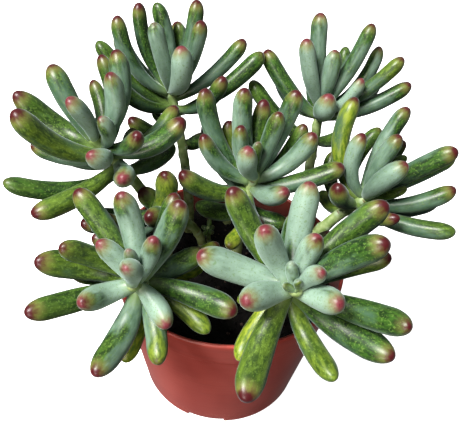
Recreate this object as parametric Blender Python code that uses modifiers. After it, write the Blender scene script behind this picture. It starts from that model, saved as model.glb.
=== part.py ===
"""A potted jelly bean plant: a small flared nursery pot, its soil, and the leafy stems that stand in it.

Units are metres, +Z is up, and the origin is the middle of the pot's flat underside.
Each leaf's tip was read from one photograph. The leaf grows from its stem to the point where
the line of sight through that tip meets the leaf's own length, so sizes stay real ones.
"""
import math
from collections import namedtuple

import bmesh
import bpy
import numpy as np
from mathutils import Matrix, Vector

MM = 0.001

# The pot, a 4 inch nursery pot
RIM_RADIUS = 51.0 * MM
POT_HEIGHT = 73.5 * MM
BASE_RADIUS = 38.3 * MM
WALL = 1.6 * MM
COLLAR_HEIGHT = 14.0 * MM
COLLAR_STEP = 0.6 * MM
FLOOR_TOP = 3.4 * MM
FOOT_RING_WIDTH = 3.0 * MM
FOOT_RECESS = 1.6 * MM
PAD_RADIUS = 12.0 * MM
POT_SIDES = 36
DRAIN_HOLES = 6
DRAIN_RADIUS = 4.2 * MM
DRAIN_CIRCLE = 23.0 * MM
NOTCHES = 4
NOTCH_WIDTH = 17.5 * MM
NOTCH_HEIGHT = 2.4 * MM
NOTCH_TURN = math.radians(-97.0)

# The soil, and the holes that the stems stand in
SOIL_LEVEL = 63.5 * MM
SOIL_MOUND = 1.5 * MM
HOLE_SIDES = 8
GAP = 0.3 * MM
STEM_DEPTH = 12.0 * MM

# The leaves and stems
LEAF_SIDES = 6
LEAF_RINGS = 5
LEAF_THICKNESS = 0.9
FACET_SWELL = 1.05
LEAF_SAG = 0.54
BEND_AT = 0.42
SAG_SPREAD = 0.3, 0.65
STEM_STEP = 6.0 * MM
STEM_SIDE_LEVEL = 1
STEM_TAPER = 0.82
CHAIN = 8
CLEARANCE = 0.7 * MM
BEND_STEPS = 260
NEIGHBOUR_REACH = 24.0 * MM
SMALLEST_SOLID = 10.0 * MM ** 3

# Leaves on a stem's hidden side: each value at the apex, and at the lowest of them
HIDDEN_TRIES = 60
HIDDEN_DROP = 3.0 * MM, 23.0 * MM
HIDDEN_SPREAD = math.radians(38), math.radians(100)
HIDDEN_LENGTH = 31.0 * MM, 26.0 * MM
HIDDEN_WIDTH = 7.6 * MM, 6.8 * MM
HIDDEN_SHARE = 0.75
GOLDEN_ANGLE = math.radians(137.508)

# The viewpoint of the photograph, which is 460 by 421 pixels
FOCAL_PX = 560.0
CENTRE_PX = np.array([230.0, 210.0])
VIEW_ELEVATION = math.radians(39.2)
VIEW_ROLL = math.radians(4.6)
EYE = np.array([-1.0, -180.2, 244.5]) * MM

NEAR, SQUARE, FAR = 1, 0, -1
DROOPS, STRAIGHT, ARCHES = 1.6, 0.4, -0.5

Leaf = namedtuple("Leaf", "tip_x tip_y length_mm side drop_mm width_mm bend", defaults=(1.0,))
Stem = namedtuple("Stem", "name apex_px depth_mm foot_mm rise radius_mm hidden leaves")

# A leaf's row: its tip's pixel, its length, whether it points nearer or farther than its stem,
# how far down the stem it grows, its width, and how much it bends beside most leaves.
# A stem's row: its apex's pixel and distance from the viewpoint, its foot on the soil, how much of
# its height it rises straight, its thickness, and how many leaves it may have on its hidden side.
STEMS = [
    Stem("stem_front_left", (131, 286), 182, (-24, -27), 0.55, 2.6, 3, [
        Leaf(77, 189, 34, NEAR, 7, 8.0, STRAIGHT), Leaf(119, 192, 33, SQUARE, 4, 8.4),
        Leaf(180, 201, 33, SQUARE, 6, 8.8), Leaf(99, 241, 16, NEAR, 3, 7.6),
        Leaf(153, 237, 17, NEAR, 3, 6.8), Leaf(129, 249, 10, NEAR, 1, 4.6),
        Leaf(125, 266, 14, NEAR, 0, 7.6), Leaf(35, 261, 33, SQUARE, 8, 9.6, DROOPS),
        Leaf(60, 247, 30, FAR, 11, 7.4), Leaf(25, 313, 33, FAR, 12, 8.4),
        Leaf(80, 303, 20, NEAR, 6, 8.6, DROOPS), Leaf(94, 374, 32, SQUARE, 7, 9.4, DROOPS),
        Leaf(124, 362, 30, FAR, 14, 7.4), Leaf(158, 364, 26, NEAR, 9, 7.8),
        Leaf(167, 327, 18, NEAR, 5, 8.0), Leaf(236, 312, 34, SQUARE, 11, 9.2),
        Leaf(209, 332, 26, FAR, 15, 7.4), Leaf(204, 250, 26, FAR, 9, 7.8),
        Leaf(203, 266, 26, FAR, 17, 6.4), Leaf(174, 192, 30, FAR, 8, 7.6),
        Leaf(219, 243, 30, FAR, 22, 6.6)]),
    Stem("stem_front_right", (298, 291), 178, (17, -30), 0.55, 2.7, 3, [
        Leaf(231, 187, 36, SQUARE, 12, 8.8), Leaf(198, 254, 36, SQUARE, 5, 10.4),
        Leaf(265, 228, 26, NEAR, 4, 8.6), Leaf(312, 182, 35, SQUARE, 3, 9.0),
        Leaf(319, 236, 18, NEAR, 3, 7.6), Leaf(388, 203, 36, SQUARE, 6, 9.0),
        Leaf(388, 242, 33, NEAR, 5, 9.6), Leaf(391, 256, 30, FAR, 10, 7.2),
        Leaf(320, 271, 12, NEAR, 2, 6.4), Leaf(292, 264, 10, NEAR, 1, 4.4),
        Leaf(292, 285, 5, NEAR, 0, 3.0), Leaf(303, 287, 5, NEAR, 0, 3.0),
        Leaf(245, 301, 20, NEAR, 5, 9.8), Leaf(341, 304, 18, NEAR, 5, 9.2),
        Leaf(410, 327, 33, SQUARE, 9, 9.0, DROOPS), Leaf(394, 357, 32, SQUARE, 10, 10.6, DROOPS),
        Leaf(335, 379, 28, SQUARE, 12, 7.8, DROOPS), Leaf(245, 401, 33, SQUARE, 10, 10.0),
        Leaf(238, 360, 26, FAR, 16, 7.6), Leaf(240, 300, 20, FAR, 14, 5.4)]),
    Stem("stem_left", (90, 136), 199, (-27, 0), 0.5, 2.4, 4, [
        Leaf(14, 92, 37, FAR, 6, 9.0, DROOPS), Leaf(13, 110, 38, NEAR, 11, 8.8, DROOPS),
        Leaf(51, 64, 33, SQUARE, 3, 8.0, ARCHES), Leaf(67, 98, 19, NEAR, 2, 6.8),
        Leaf(94, 79, 25, FAR, 3, 5.8), Leaf(114, 49, 36, FAR, 4, 8.0), Leaf(109, 72, 28, SQUARE, 4, 8.2),
        Leaf(99, 117, 16, NEAR, 6, 6.4), Leaf(86, 149, 13, NEAR, 9, 8.6),
        Leaf(138, 133, 20, NEAR, 7, 6.8), Leaf(184, 118, 34, SQUARE, 9, 8.8),
        Leaf(176, 105, 34, FAR, 9, 7.2), Leaf(122, 178, 15, NEAR, 15, 8.6),
        Leaf(3, 181, 36, FAR, 19, 7.8), Leaf(31, 214, 32, SQUARE, 17, 8.4, STRAIGHT),
        Leaf(100, 54, 37, FAR, 8, 6.2), Leaf(133, 128, 20, FAR, 10, 6.2),
        Leaf(173, 144, 29, FAR, 21, 8.4, STRAIGHT)]),
    Stem("stem_back_left", (168, 80), 232, (-20, 24), 0.5, 2.3, 4, [
        Leaf(117, 15, 31, SQUARE, 6, 6.8, DROOPS), Leaf(139, 2, 31, SQUARE, 4, 6.4, DROOPS),
        Leaf(156, 2, 31, FAR, 3, 6.6), Leaf(154, 22, 33, NEAR, 5, 6.4), Leaf(178, 22, 25, FAR, 3, 5.6),
        Leaf(197, -1, 34, FAR, 5, 6.8, STRAIGHT), Leaf(201, 20, 34, NEAR, 6, 6.8, STRAIGHT),
        Leaf(180, 44, 24, NEAR, 4, 9.2), Leaf(245, 39, 33, SQUARE, 8, 7.0, STRAIGHT),
        Leaf(224, 76, 28, NEAR, 12, 7.0), Leaf(263, 52, 36, FAR, 14, 7.8, STRAIGHT),
        Leaf(98, 40, 33, FAR, 12, 7.0, STRAIGHT), Leaf(117, 80, 26, NEAR, 11, 6.8),
        Leaf(129, 117, 20, NEAR, 23, 8.0), Leaf(153, 110, 8, NEAR, 19, 4.2),
        Leaf(204, 133, 16, FAR, 27, 7.0)]),
    Stem("stem_centre", (256, 172), 216, (3, 1), 0.5, 2.5, 3, [
        Leaf(205, 88, 34, SQUARE, 6, 8.0), Leaf(246, 88, 32, FAR, 3, 8.4), Leaf(264, 99, 32, FAR, 6, 7.2),
        Leaf(298, 90, 33, SQUARE, 4, 7.8), Leaf(280, 112, 26, NEAR, 3, 7.0),
        Leaf(244, 125, 20, NEAR, 3, 7.0), Leaf(250, 145, 17, NEAR, 2, 8.6),
        Leaf(256, 142, 12, FAR, 1, 4.4), Leaf(203, 134, 24, NEAR, 5, 7.4),
        Leaf(315, 133, 28, NEAR, 4, 8.0), Leaf(180, 172, 30, NEAR, 10, 8.6),
        Leaf(345, 166, 37, NEAR, 9, 8.0, STRAIGHT), Leaf(287, 190, 18, NEAR, 7, 9.0),
        Leaf(196, 203, 28, FAR, 16, 8.2), Leaf(288, 222, 24, SQUARE, 18, 8.2),
        Leaf(305, 124, 26, FAR, 12, 7.2), Leaf(228, 248, 20, SQUARE, 30, 6.6),
        Leaf(228, 120, 24, FAR, 8, 6.6)]),
    Stem("stem_back_right", (322, 98), 238, (32, 22), 0.5, 2.3, 4, [
        Leaf(321, 12, 33, FAR, 4, 7.4, STRAIGHT), Leaf(307, 38, 32, NEAR, 4, 7.2, STRAIGHT),
        Leaf(322, 33, 29, NEAR, 3, 5.2), Leaf(335, 49, 24, NEAR, 2, 6.8), Leaf(346, 46, 24, FAR, 3, 5.8),
        Leaf(373, 23, 33, FAR, 5, 6.8, STRAIGHT), Leaf(380, 46, 30, SQUARE, 4, 6.6),
        Leaf(403, 58, 33, FAR, 6, 6.6, STRAIGHT), Leaf(411, 82, 33, SQUARE, 8, 7.0, STRAIGHT),
        Leaf(362, 78, 22, NEAR, 4, 5.8), Leaf(331, 93, 16, NEAR, 6, 9.6),
        Leaf(266, 49, 32, SQUARE, 8, 8.0, STRAIGHT), Leaf(345, 133, 20, NEAR, 18, 6.6, STRAIGHT),
        Leaf(251, 80, 34, FAR, 20, 7.6, STRAIGHT)]),
    Stem("stem_right", (373, 192), 222, (27, -4), 0.5, 2.6, 3, [
        Leaf(409, 107, 33, FAR, 5, 7.2, STRAIGHT), Leaf(401, 135, 28, NEAR, 3, 7.2, STRAIGHT),
        Leaf(357, 97, 38, SQUARE, 6, 8.0), Leaf(364, 133, 26, NEAR, 4, 7.0),
        Leaf(408, 163, 26, NEAR, 3, 8.0), Leaf(407, 156, 18, FAR, 2, 5.0),
        Leaf(458, 150, 33, FAR, 5, 7.4, ARCHES), Leaf(455, 155, 33, SQUARE, 6, 6.6, STRAIGHT),
        Leaf(455, 190, 32, SQUARE, 5, 7.4), Leaf(457, 229, 34, SQUARE, 8, 7.6, STRAIGHT),
        Leaf(400, 217, 22, NEAR, 7, 5.4), Leaf(339, 184, 16, NEAR, 8, 8.6),
        Leaf(407, 187, 16, NEAR, 2, 4.0), Leaf(381, 128, 24, FAR, 10, 6.6),
        Leaf(334, 151, 18, FAR, 12, 6.6), Leaf(323, 192, 24, FAR, 14, 6.6, STRAIGHT)]),
    Stem("stem_inner_left", (152, 210), 214, (-12, 8), 0.5, 1.9, 3, [
        Leaf(143, 188, 14, SQUARE, 3, 8.2), Leaf(144, 214, 14, NEAR, 3, 8.6),
        Leaf(159, 168, 20, SQUARE, 2, 9.0)]),
    Stem("stem_back", (236, 166), 272, (-2, 33), 0.5, 2.1, 5, []),
    Stem("sprout", (208, 226), 260, (-10, 16), 0.5, 0.9, 0, [
        Leaf(202, 224, 5, SQUARE, 1, 2.6), Leaf(215, 225, 5, SQUARE, 2, 2.6),
        Leaf(208, 218, 5, SQUARE, 1, 2.4), Leaf(203, 230, 4, NEAR, 2, 2.4),
        Leaf(213, 231, 4, NEAR, 1, 2.4)]),
]


def unit(vectors):
    """Vectors of length one, along the last axis."""
    return vectors / np.maximum(np.linalg.norm(vectors, axis=-1, keepdims=True), 1e-12)


def view_axes():
    """The viewpoint's right, up and backward directions, from its elevation and roll."""
    back = np.array([0.0, -math.cos(VIEW_ELEVATION), math.sin(VIEW_ELEVATION)])
    level = np.array([1.0, 0.0, 0.0])
    upright = np.cross(back, level)
    right = math.cos(VIEW_ROLL) * level + math.sin(VIEW_ROLL) * upright
    up = math.cos(VIEW_ROLL) * upright - math.sin(VIEW_ROLL) * level
    return right, up, back


RIGHT, UP, BACK = view_axes()


def sight_line(pixel):
    """The direction from the eye through a pixel, one unit deep along the view."""
    across, down = (np.asarray(pixel, float) - CENTRE_PX) / FOCAL_PX
    return across * RIGHT - down * UP - BACK


def to_picture(points):
    """The pixels and depths at which points are seen."""
    offset = points - EYE
    depth = -(offset @ BACK)
    pixels = np.stack([offset @ RIGHT, -(offset @ UP)], -1) / depth[..., None] * FOCAL_PX + CENTRE_PX
    return pixels, depth


def between(ends, share):
    """The value a given share of the way from the first of a pair to the second."""
    return ends[0] + share * (ends[1] - ends[0])


def bezier(start, middle, end, s):
    """Points at the fractions s of a quadratic curve."""
    s = np.asarray(s)[..., None]
    return (1 - s) ** 2 * start + 2 * s * (1 - s) * middle + s * s * end


def stem_path(stem, count=81):
    """Points from the stem's foot on the soil, up and over to its apex, and the length run at each."""
    apex = EYE + stem.depth_mm * MM * sight_line(stem.apex_px)
    foot = np.array([stem.foot_mm[0] * MM, stem.foot_mm[1] * MM, SOIL_LEVEL])
    middle = foot + np.array([0.0, 0.0, stem.rise * (apex[2] - foot[2])])
    points = bezier(foot, middle, apex, np.linspace(0, 1, count))
    run = np.concatenate([[0.0], np.cumsum(np.linalg.norm(np.diff(points, axis=0), axis=1))])
    return points, run


def point_on_stem(path, run, drop):
    """The point a given length down from the apex, and the stem's direction there."""
    where = max(run[-1] - drop, run[1])
    point = np.array([np.interp(where, run, path[:, k]) for k in range(3)])
    after = int(np.searchsorted(run, where))
    direction = unit(path[after] - path[max(after - 3, 0)])
    return point, direction


def leaf_half_width(s, width, length):
    """Half its full width at the foot, full at two thirds, and an end as round as a bean's."""
    body = 0.48 + 0.52 * np.sin(math.pi / 2 * np.clip(s / 0.70, 0, 1)) ** 1.3
    end = np.minimum(0.75 * width / length, 0.5)
    return 0.5 * width * body * np.sqrt(1 - np.clip((s - 1 + end) / end, 0, 1) ** 2.2)


class Plant:
    """All leaves as arrays: the stem each grows from, its foot, tip, stem direction, width and sight line."""

    def __init__(self, stems):
        self.stems = stems
        self.paths = [stem_path(stem) for stem in stems]
        self.stem = np.zeros(0, int)
        self.foot, self.tip, self.axis, self.sight = (np.zeros((0, 3)) for _ in range(4))
        self.width = np.zeros(0)
        self.bend = np.zeros(0)

    def add(self, stem, foot, tip, axis, width, bend=1.0):
        self.stem = np.append(self.stem, stem)
        self.foot = np.vstack([self.foot, foot])
        self.tip = np.vstack([self.tip, tip])
        self.axis = np.vstack([self.axis, axis])
        self.sight = np.vstack([self.sight, unit(tip - EYE)])
        self.width = np.append(self.width, width)
        self.bend = np.append(self.bend, bend)

    def lengths(self):
        """The straight distance from each foot to its tip."""
        return np.linalg.norm(self.tip - self.foot, axis=1)

    def middles(self):
        """The curve's middle point, below the straight line the more a leaf spreads, by its bend."""
        reach = self.tip - self.foot
        along = unit(reach)
        down = (self.axis * along).sum(1)[:, None] * along - self.axis
        spread = np.clip(np.linalg.norm(down, axis=1), *SAG_SPREAD)
        sag = LEAF_SAG * self.bend * spread * self.lengths()
        return self.foot + BEND_AT * reach + sag[:, None] * unit(down)

    def chains(self, count=CHAIN, first=0.22):
        """Centres and radii of spheres strung along each leaf, and their fractions of its length."""
        s = np.broadcast_to(np.linspace(first, 1.0, count), (len(self.width), count))
        centres = bezier(self.foot[:, None], self.middles()[:, None], self.tip[:, None], s)
        return centres, leaf_half_width(s, self.width[:, None], self.lengths()[:, None]), s


def add_seen_leaves(plant):
    """Each leaf reaches from its stem to where its tip's sight line meets its length, or passes closest."""
    for number, stem in enumerate(plant.stems):
        path, run = plant.paths[number]
        for leaf in stem.leaves:
            foot, axis = point_on_stem(path, run, leaf.drop_mm * MM)
            line = unit(sight_line((leaf.tip_x, leaf.tip_y)))
            closest = float((foot - EYE) @ line)
            miss = float((foot - EYE) @ (foot - EYE)) - closest ** 2
            half_chord = math.sqrt(max((leaf.length_mm * MM) ** 2 - miss, 0.0))
            tip = EYE + (closest - leaf.side * half_chord) * line
            plant.add(number, foot, tip, axis, leaf.width_mm * MM, leaf.bend)


def hidden_share(points, radii, seen):
    """The share of a chain of spheres that lies behind the leaves already placed, as the eye sees it."""
    pixels, depth = to_picture(points)
    size = radii * FOCAL_PX / depth
    centres, widths, _ = seen
    seen_pixels, seen_depth = to_picture(centres.reshape(-1, 3))
    seen_size = widths.reshape(-1) * FOCAL_PX / seen_depth
    apart = np.linalg.norm(pixels[:, None] - seen_pixels[None], axis=2)
    covered = (apart + 0.3 * size[:, None] < seen_size[None]) & (depth[:, None] > seen_depth[None])
    return covered.any(axis=1).mean()


def add_hidden_leaves(plant):
    """Leaves that the picture can't show, turned by the golden angle down each stem, where there is room."""
    for number, stem in enumerate(plant.stems):
        path, run = plant.paths[number]
        added = 0
        for turn in range(HIDDEN_TRIES):
            if added == stem.hidden:
                break
            share = turn / HIDDEN_TRIES
            spread = between(HIDDEN_SPREAD, share)
            foot, axis = point_on_stem(path, run, between(HIDDEN_DROP, share))
            side = unit(np.cross(axis, [0.3, 0.9, 0.1]))
            other = np.cross(axis, side)
            around = math.cos(turn * GOLDEN_ANGLE) * side + math.sin(turn * GOLDEN_ANGLE) * other
            heading = math.cos(spread) * axis + math.sin(spread) * around
            tip = foot + between(HIDDEN_LENGTH, share) * heading
            trial = Plant(plant.stems)
            trial.add(number, foot, tip, axis, between(HIDDEN_WIDTH, share))
            centres, radii, _ = trial.chains(10, 0.4)
            seen = plant.chains(16, 0.15)
            if hidden_share(centres[0], radii[0], seen) < HIDDEN_SHARE:
                continue
            apart = np.linalg.norm(centres[0][:, None] - seen[0].reshape(-1, 3)[None], axis=2)
            room = (apart - radii[0][:, None] - seen[1].reshape(-1)[None]).min()
            if room < -2.0 * MM or centres[0][:, 2].min() < SOIL_LEVEL + 3 * MM:
                continue
            plant.add(number, foot, tip, axis, between(HIDDEN_WIDTH, share))
            added += 1


def push_apart(centres, radii, pairs, gaps, push):
    """Add to push what moves each touching pair of spheres apart."""
    first, second = pairs
    between = centres[first] - centres[second]
    apart = np.linalg.norm(between, axis=1)
    over = radii[first] + radii[second] + gaps - apart
    touching = over > 0
    move = (0.5 * over[touching] / np.maximum(apart[touching], 1e-9))[:, None] * between[touching]
    np.add.at(push, first[touching], move)
    np.add.at(push, second[touching], -move)


def push_from_stems(centres, radii, pairs, stem_points, stem_radii, push):
    """Add to push what moves each leaf sphere off another stem."""
    first, second = pairs
    between = centres[first] - stem_points[second]
    apart = np.linalg.norm(between, axis=1)
    over = radii[first] + stem_radii[second] + CLEARANCE - apart
    touching = over > 0
    move = (0.6 * over[touching] / np.maximum(apart[touching], 1e-9))[:, None] * between[touching]
    np.add.at(push, first[touching], move)


def push_from_pot(centres, radii, push):
    """Add to push what lifts a leaf off the soil and moves it off the pot's wall, in or out."""
    out = np.linalg.norm(centres[:, :2], axis=1)
    low = SOIL_LEVEL + SOIL_MOUND + CLEARANCE + radii - centres[:, 2]
    push[:, 2] += np.where((out < RIM_RADIUS - 2 * MM) & (low > 0), low, 0.0)
    height = np.clip(centres[:, 2], 0.0, POT_HEIGHT)
    wall = BASE_RADIUS + (RIM_RADIUS - BASE_RADIUS) * height / POT_HEIGHT - WALL / 2
    sideways = out - wall
    above = centres[:, 2] - height
    apart = np.maximum(np.hypot(sideways, above), 1e-9)
    over = np.maximum(radii + WALL / 2 + COLLAR_STEP + CLEARANCE - apart, 0.0)
    radial = centres[:, :2] / np.maximum(out, 1e-9)[:, None]
    push[:, :2] += (over * sideways / apart)[:, None] * radial
    push[:, 2] += over * above / apart


def bend_clear(plant):
    """Swing the leaves about their feet until none crosses another, keeping their lengths.

    While the first part of the steps runs, a tip moves mostly along its sight line, which the
    picture doesn't show, and is drawn back to that line. After that it only makes room.
    """
    centres, radii, s = plant.chains()
    count = s.shape[1]
    leaf = np.repeat(np.arange(len(plant.width)), count)
    stem = np.repeat(plant.stem, count)
    s, radii = s.reshape(-1), radii.reshape(-1)
    points = centres.reshape(-1, 3)
    first, second = np.nonzero(np.triu(leaf[:, None] != leaf[None], 1))
    same = stem[first] == stem[second]
    close = np.linalg.norm(points[first] - points[second], axis=1) < NEIGHBOUR_REACH
    keep = close & (~same | ((s[first] > 0.42) & (s[second] > 0.42)))
    pairs = first[keep], second[keep]
    gaps = np.where(same[keep], 0.15 * MM, CLEARANCE)
    stem_points = np.concatenate([path[::4] for path, _ in plant.paths])
    per_stem = len(plant.paths[0][0][::4])
    stem_number = np.repeat(np.arange(len(plant.stems)), per_stem)
    stem_radii = np.array([row.radius_mm * MM for row in plant.stems])[stem_number]
    near = np.linalg.norm(points[:, None] - stem_points[None], axis=2) < NEIGHBOUR_REACH
    stem_pairs = np.nonzero(near & ((stem[:, None] != stem_number[None]) | (s > 0.5)[:, None]))
    length = plant.lengths()
    home = plant.tip.copy()
    share = s / (s * s).mean() / count
    for step in range(BEND_STEPS):
        points = plant.chains()[0].reshape(-1, 3)
        push = np.zeros_like(points)
        push_apart(points, radii, pairs, gaps, push)
        push_from_stems(points, radii, stem_pairs, stem_points, stem_radii, push)
        push_from_pot(points, radii, push)
        move = np.zeros_like(plant.tip)
        np.add.at(move, leaf, push * share[:, None])
        move = np.clip(move, -2 * MM, 2 * MM)
        held = step < 0.7 * BEND_STEPS
        if held:
            along = (move * plant.sight).sum(1)[:, None] * plant.sight
            move = along + 0.35 * (move - along)
        plant.tip = plant.tip + 0.6 * move
        if held:
            off = plant.tip - home
            along = (off * plant.sight).sum(1)[:, None] * plant.sight
            plant.tip = home + along + 0.93 * (off - along)
        reach = plant.lengths()
        wanted = np.clip(reach, 0.88 * length, 1.10 * length)
        plant.tip = plant.foot + (plant.tip - plant.foot) * (wanted / reach)[:, None]


def grow_plant():
    plant = Plant(STEMS)
    add_seen_leaves(plant)
    add_hidden_leaves(plant)
    bend_clear(plant)
    return plant


def material(name, colour, roughness):
    """A Principled material with one colour, given as linear red, green and blue."""
    made = bpy.data.materials.new(name)
    made.use_nodes = True
    shader = made.node_tree.nodes["Principled BSDF"]
    shader.inputs["Base Color"].default_value = (*colour, 1.0)
    shader.inputs["Roughness"].default_value = roughness
    shader.inputs["Metallic"].default_value = 0.0
    return made


def new_object(name, mesh, collection):
    made = bpy.data.objects.new(name, mesh)
    collection.objects.link(made)
    return made


def add_boolean(target, operation, solver="EXACT", collection=None, cutter=None):
    made = target.modifiers.new(operation.lower(), "BOOLEAN")
    made.operation = operation
    made.solver = solver
    if collection is not None:
        made.operand_type = "COLLECTION"
        made.collection = collection
    else:
        made.object = cutter


def bake(target):
    """Replace an object's mesh and modifiers by its evaluated mesh."""
    graph = bpy.context.evaluated_depsgraph_get()
    mesh = bpy.data.meshes.new_from_object(target.evaluated_get(graph))
    target.modifiers.clear()
    target.data = mesh


def turned(name, outline, sides, collection):
    """Points of (radius, height), closed to a ring or ending on the Z axis, turned by a Screw modifier."""
    mesh = bpy.data.meshes.new(name)
    points = [(radius, 0.0, height) for radius, height in outline]
    edges = [(k, k + 1) for k in range(len(points) - 1)]
    if outline[0][0] > 0:
        edges.append((len(points) - 1, 0))
    mesh.from_pydata(points, edges, [])
    made = new_object(name, mesh, collection)
    screw = made.modifiers.new("turn", "SCREW")
    screw.steps = sides
    screw.render_steps = sides
    screw.use_merge_vertices = True
    screw.merge_threshold = 0.00001
    screw.use_normal_calculate = True
    return made


def arc(centre, radius, start, end, count):
    """Points of an arc in the (radius, height) plane, by its start and end angles in degrees."""
    angles = np.radians(np.linspace(start, end, count))
    return [(centre[0] + radius * math.cos(a), centre[1] + radius * math.sin(a)) for a in angles]


def wall_radius(height):
    """The outer radius of the pot's wall below the collar."""
    return BASE_RADIUS + (RIM_RADIUS - COLLAR_STEP * 1.4 - BASE_RADIUS) * height / POT_HEIGHT


def pot_outline():
    """The pot's section, down its outer side, across the underside and up its inner side."""
    collar_foot = POT_HEIGHT - COLLAR_HEIGHT
    collar_radius = wall_radius(collar_foot) + COLLAR_STEP
    inner_step = collar_foot + WALL
    rim_centre = (RIM_RADIUS - WALL / 2, POT_HEIGHT - WALL / 2)
    ring_inner = BASE_RADIUS - FOOT_RING_WIDTH
    outer = arc(rim_centre, WALL / 2, 90, 0, 3)
    outer += [(collar_radius, collar_foot), (wall_radius(collar_foot), collar_foot - COLLAR_STEP)]
    outer += arc((BASE_RADIUS - 1.2 * MM, 1.2 * MM), 1.2 * MM, 0, -90, 3)
    under = [(ring_inner, 0.0), (ring_inner - 0.8 * MM, FOOT_RECESS)]
    under += [(PAD_RADIUS + 1.0 * MM, FOOT_RECESS), (PAD_RADIUS, 0.0), (0.0, 0.0)]
    inner = [(0.0, FLOOR_TOP), (wall_radius(FLOOR_TOP) - WALL, FLOOR_TOP)]
    inner += [(wall_radius(collar_foot) - WALL, collar_foot), (collar_radius - WALL, inner_step)]
    inner += arc(rim_centre, WALL / 2, 180, 90, 3)[:-1]
    return outer + under + inner


def add_cutter(name, mesh, cutters):
    made = new_object(name, mesh, cutters)
    made.hide_render = True
    made.display_type = "WIRE"
    return made


def cylinder_mesh(name, radius, bottom, top, sides):
    """A closed upright cylinder about the Z axis."""
    shape = bmesh.new()
    place = Matrix.Translation((0, 0, (bottom + top) / 2))
    bmesh.ops.create_cone(shape, cap_ends=True, segments=sides, radius1=radius, radius2=radius,
                          depth=top - bottom, matrix=place)
    mesh = bpy.data.meshes.new(name)
    shape.to_mesh(mesh)
    shape.free()
    return mesh


def notch_mesh(name):
    """A block that crosses the foot ring at +X."""
    shape = bmesh.new()
    reach = 2 * FOOT_RING_WIDTH
    place = Matrix.Translation((BASE_RADIUS - 1.0 * MM, 0, 0))
    size = Matrix.Diagonal((reach, NOTCH_WIDTH, 2 * NOTCH_HEIGHT, 1.0))
    bmesh.ops.create_cube(shape, size=1.0, matrix=place @ size)
    mesh = bpy.data.meshes.new(name)
    shape.to_mesh(mesh)
    shape.free()
    return mesh


def make_pot(collection, cutters):
    pot = turned("pot", pot_outline(), POT_SIDES, collection)
    pot.data.materials.append(material("brick_red_plastic", (0.40, 0.065, 0.045), 0.45))
    hole_mesh = cylinder_mesh("drain_hole", DRAIN_RADIUS, -1 * MM, FLOOR_TOP + 1 * MM, 10)
    for k in range(DRAIN_HOLES):
        hole = add_cutter("drain_cutter_%d" % k, hole_mesh, cutters)
        angle = 2 * math.pi * (k + 0.5) / DRAIN_HOLES
        hole.location = (DRAIN_CIRCLE * math.cos(angle), DRAIN_CIRCLE * math.sin(angle), 0)
        add_boolean(pot, "DIFFERENCE", cutter=hole)
    block_mesh = notch_mesh("foot_notch")
    for k in range(NOTCHES):
        block = add_cutter("notch_cutter_%d" % k, block_mesh, cutters)
        block.rotation_euler = (0, 0, NOTCH_TURN + 2 * math.pi * k / NOTCHES)
        add_boolean(pot, "DIFFERENCE", cutter=block)
    return pot


def soil_outline():
    """The filling's section: a low mound, and sides that stay clear of the pot."""
    collar_foot = POT_HEIGHT - COLLAR_HEIGHT
    bottom = FLOOR_TOP + GAP
    edge = wall_radius(collar_foot) - WALL - 2 * GAP
    return [
        (0.0, SOIL_LEVEL + SOIL_MOUND),
        (0.55 * edge, SOIL_LEVEL + 0.7 * SOIL_MOUND),
        (edge, SOIL_LEVEL - SOIL_MOUND),
        (edge, collar_foot - 2 * MM),
        (wall_radius(bottom) - WALL - 2 * GAP, bottom),
        (0.0, bottom),
    ]


def make_soil(stems, collection, cutters):
    soil = turned("soil", soil_outline(), POT_SIDES, collection)
    soil.data.materials.append(material("potting_mix", (0.012, 0.008, 0.007), 0.95))
    for stem in stems:
        radius = (stem.radius_mm * MM + GAP) / math.cos(math.pi / HOLE_SIDES)
        mesh = cylinder_mesh("hole_" + stem.name, radius, SOIL_LEVEL - STEM_DEPTH, POT_HEIGHT, HOLE_SIDES)
        hole = add_cutter("hole_cutter_" + stem.name, mesh, cutters)
        hole.location = (stem.foot_mm[0] * MM, stem.foot_mm[1] * MM, 0)
        add_boolean(soil, "DIFFERENCE", cutter=hole)
    return soil


def tube_mesh(name, points, radii):
    """A round tube of a given radius at each point, as a curve made a mesh with its caps welded."""
    curve = bpy.data.curves.new(name, "CURVE")
    curve.dimensions = "3D"
    curve.bevel_depth = 1.0
    curve.bevel_resolution = STEM_SIDE_LEVEL
    curve.use_fill_caps = True
    spline = curve.splines.new("POLY")
    spline.points.add(len(points) - 1)
    for place, point, radius in zip(spline.points, points, radii):
        place.co = (*point, 1.0)
        place.radius = radius
    guide = bpy.data.objects.new(name, curve)
    bpy.context.scene.collection.objects.link(guide)
    graph = bpy.context.evaluated_depsgraph_get()
    mesh = bpy.data.meshes.new_from_object(guide.evaluated_get(graph))
    bpy.data.objects.remove(guide)
    shape = bmesh.new()
    shape.from_mesh(mesh)
    bmesh.ops.remove_doubles(shape, verts=shape.verts, dist=0.00001)
    bmesh.ops.recalc_face_normals(shape, faces=shape.faces)
    shape.to_mesh(mesh)
    shape.free()
    return mesh


def stem_tube(stem, path, run):
    """The stem from the bottom of its hole to its apex, a little thinner at the top."""
    root = path[0] - np.array([0, 0, STEM_DEPTH - GAP])
    start = path[0] + np.array([0, 0, 0.5 * MM])
    count = 2 + int(run[-1] / STEM_STEP)
    picked = path[np.linspace(8, len(path) - 1, count).astype(int)]
    points = np.vstack([root, start, picked])
    radii = stem.radius_mm * MM * np.concatenate([[1.0, 1.0], np.linspace(1.0, STEM_TAPER, count)])
    return tube_mesh(stem.name, points, radii)


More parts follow.
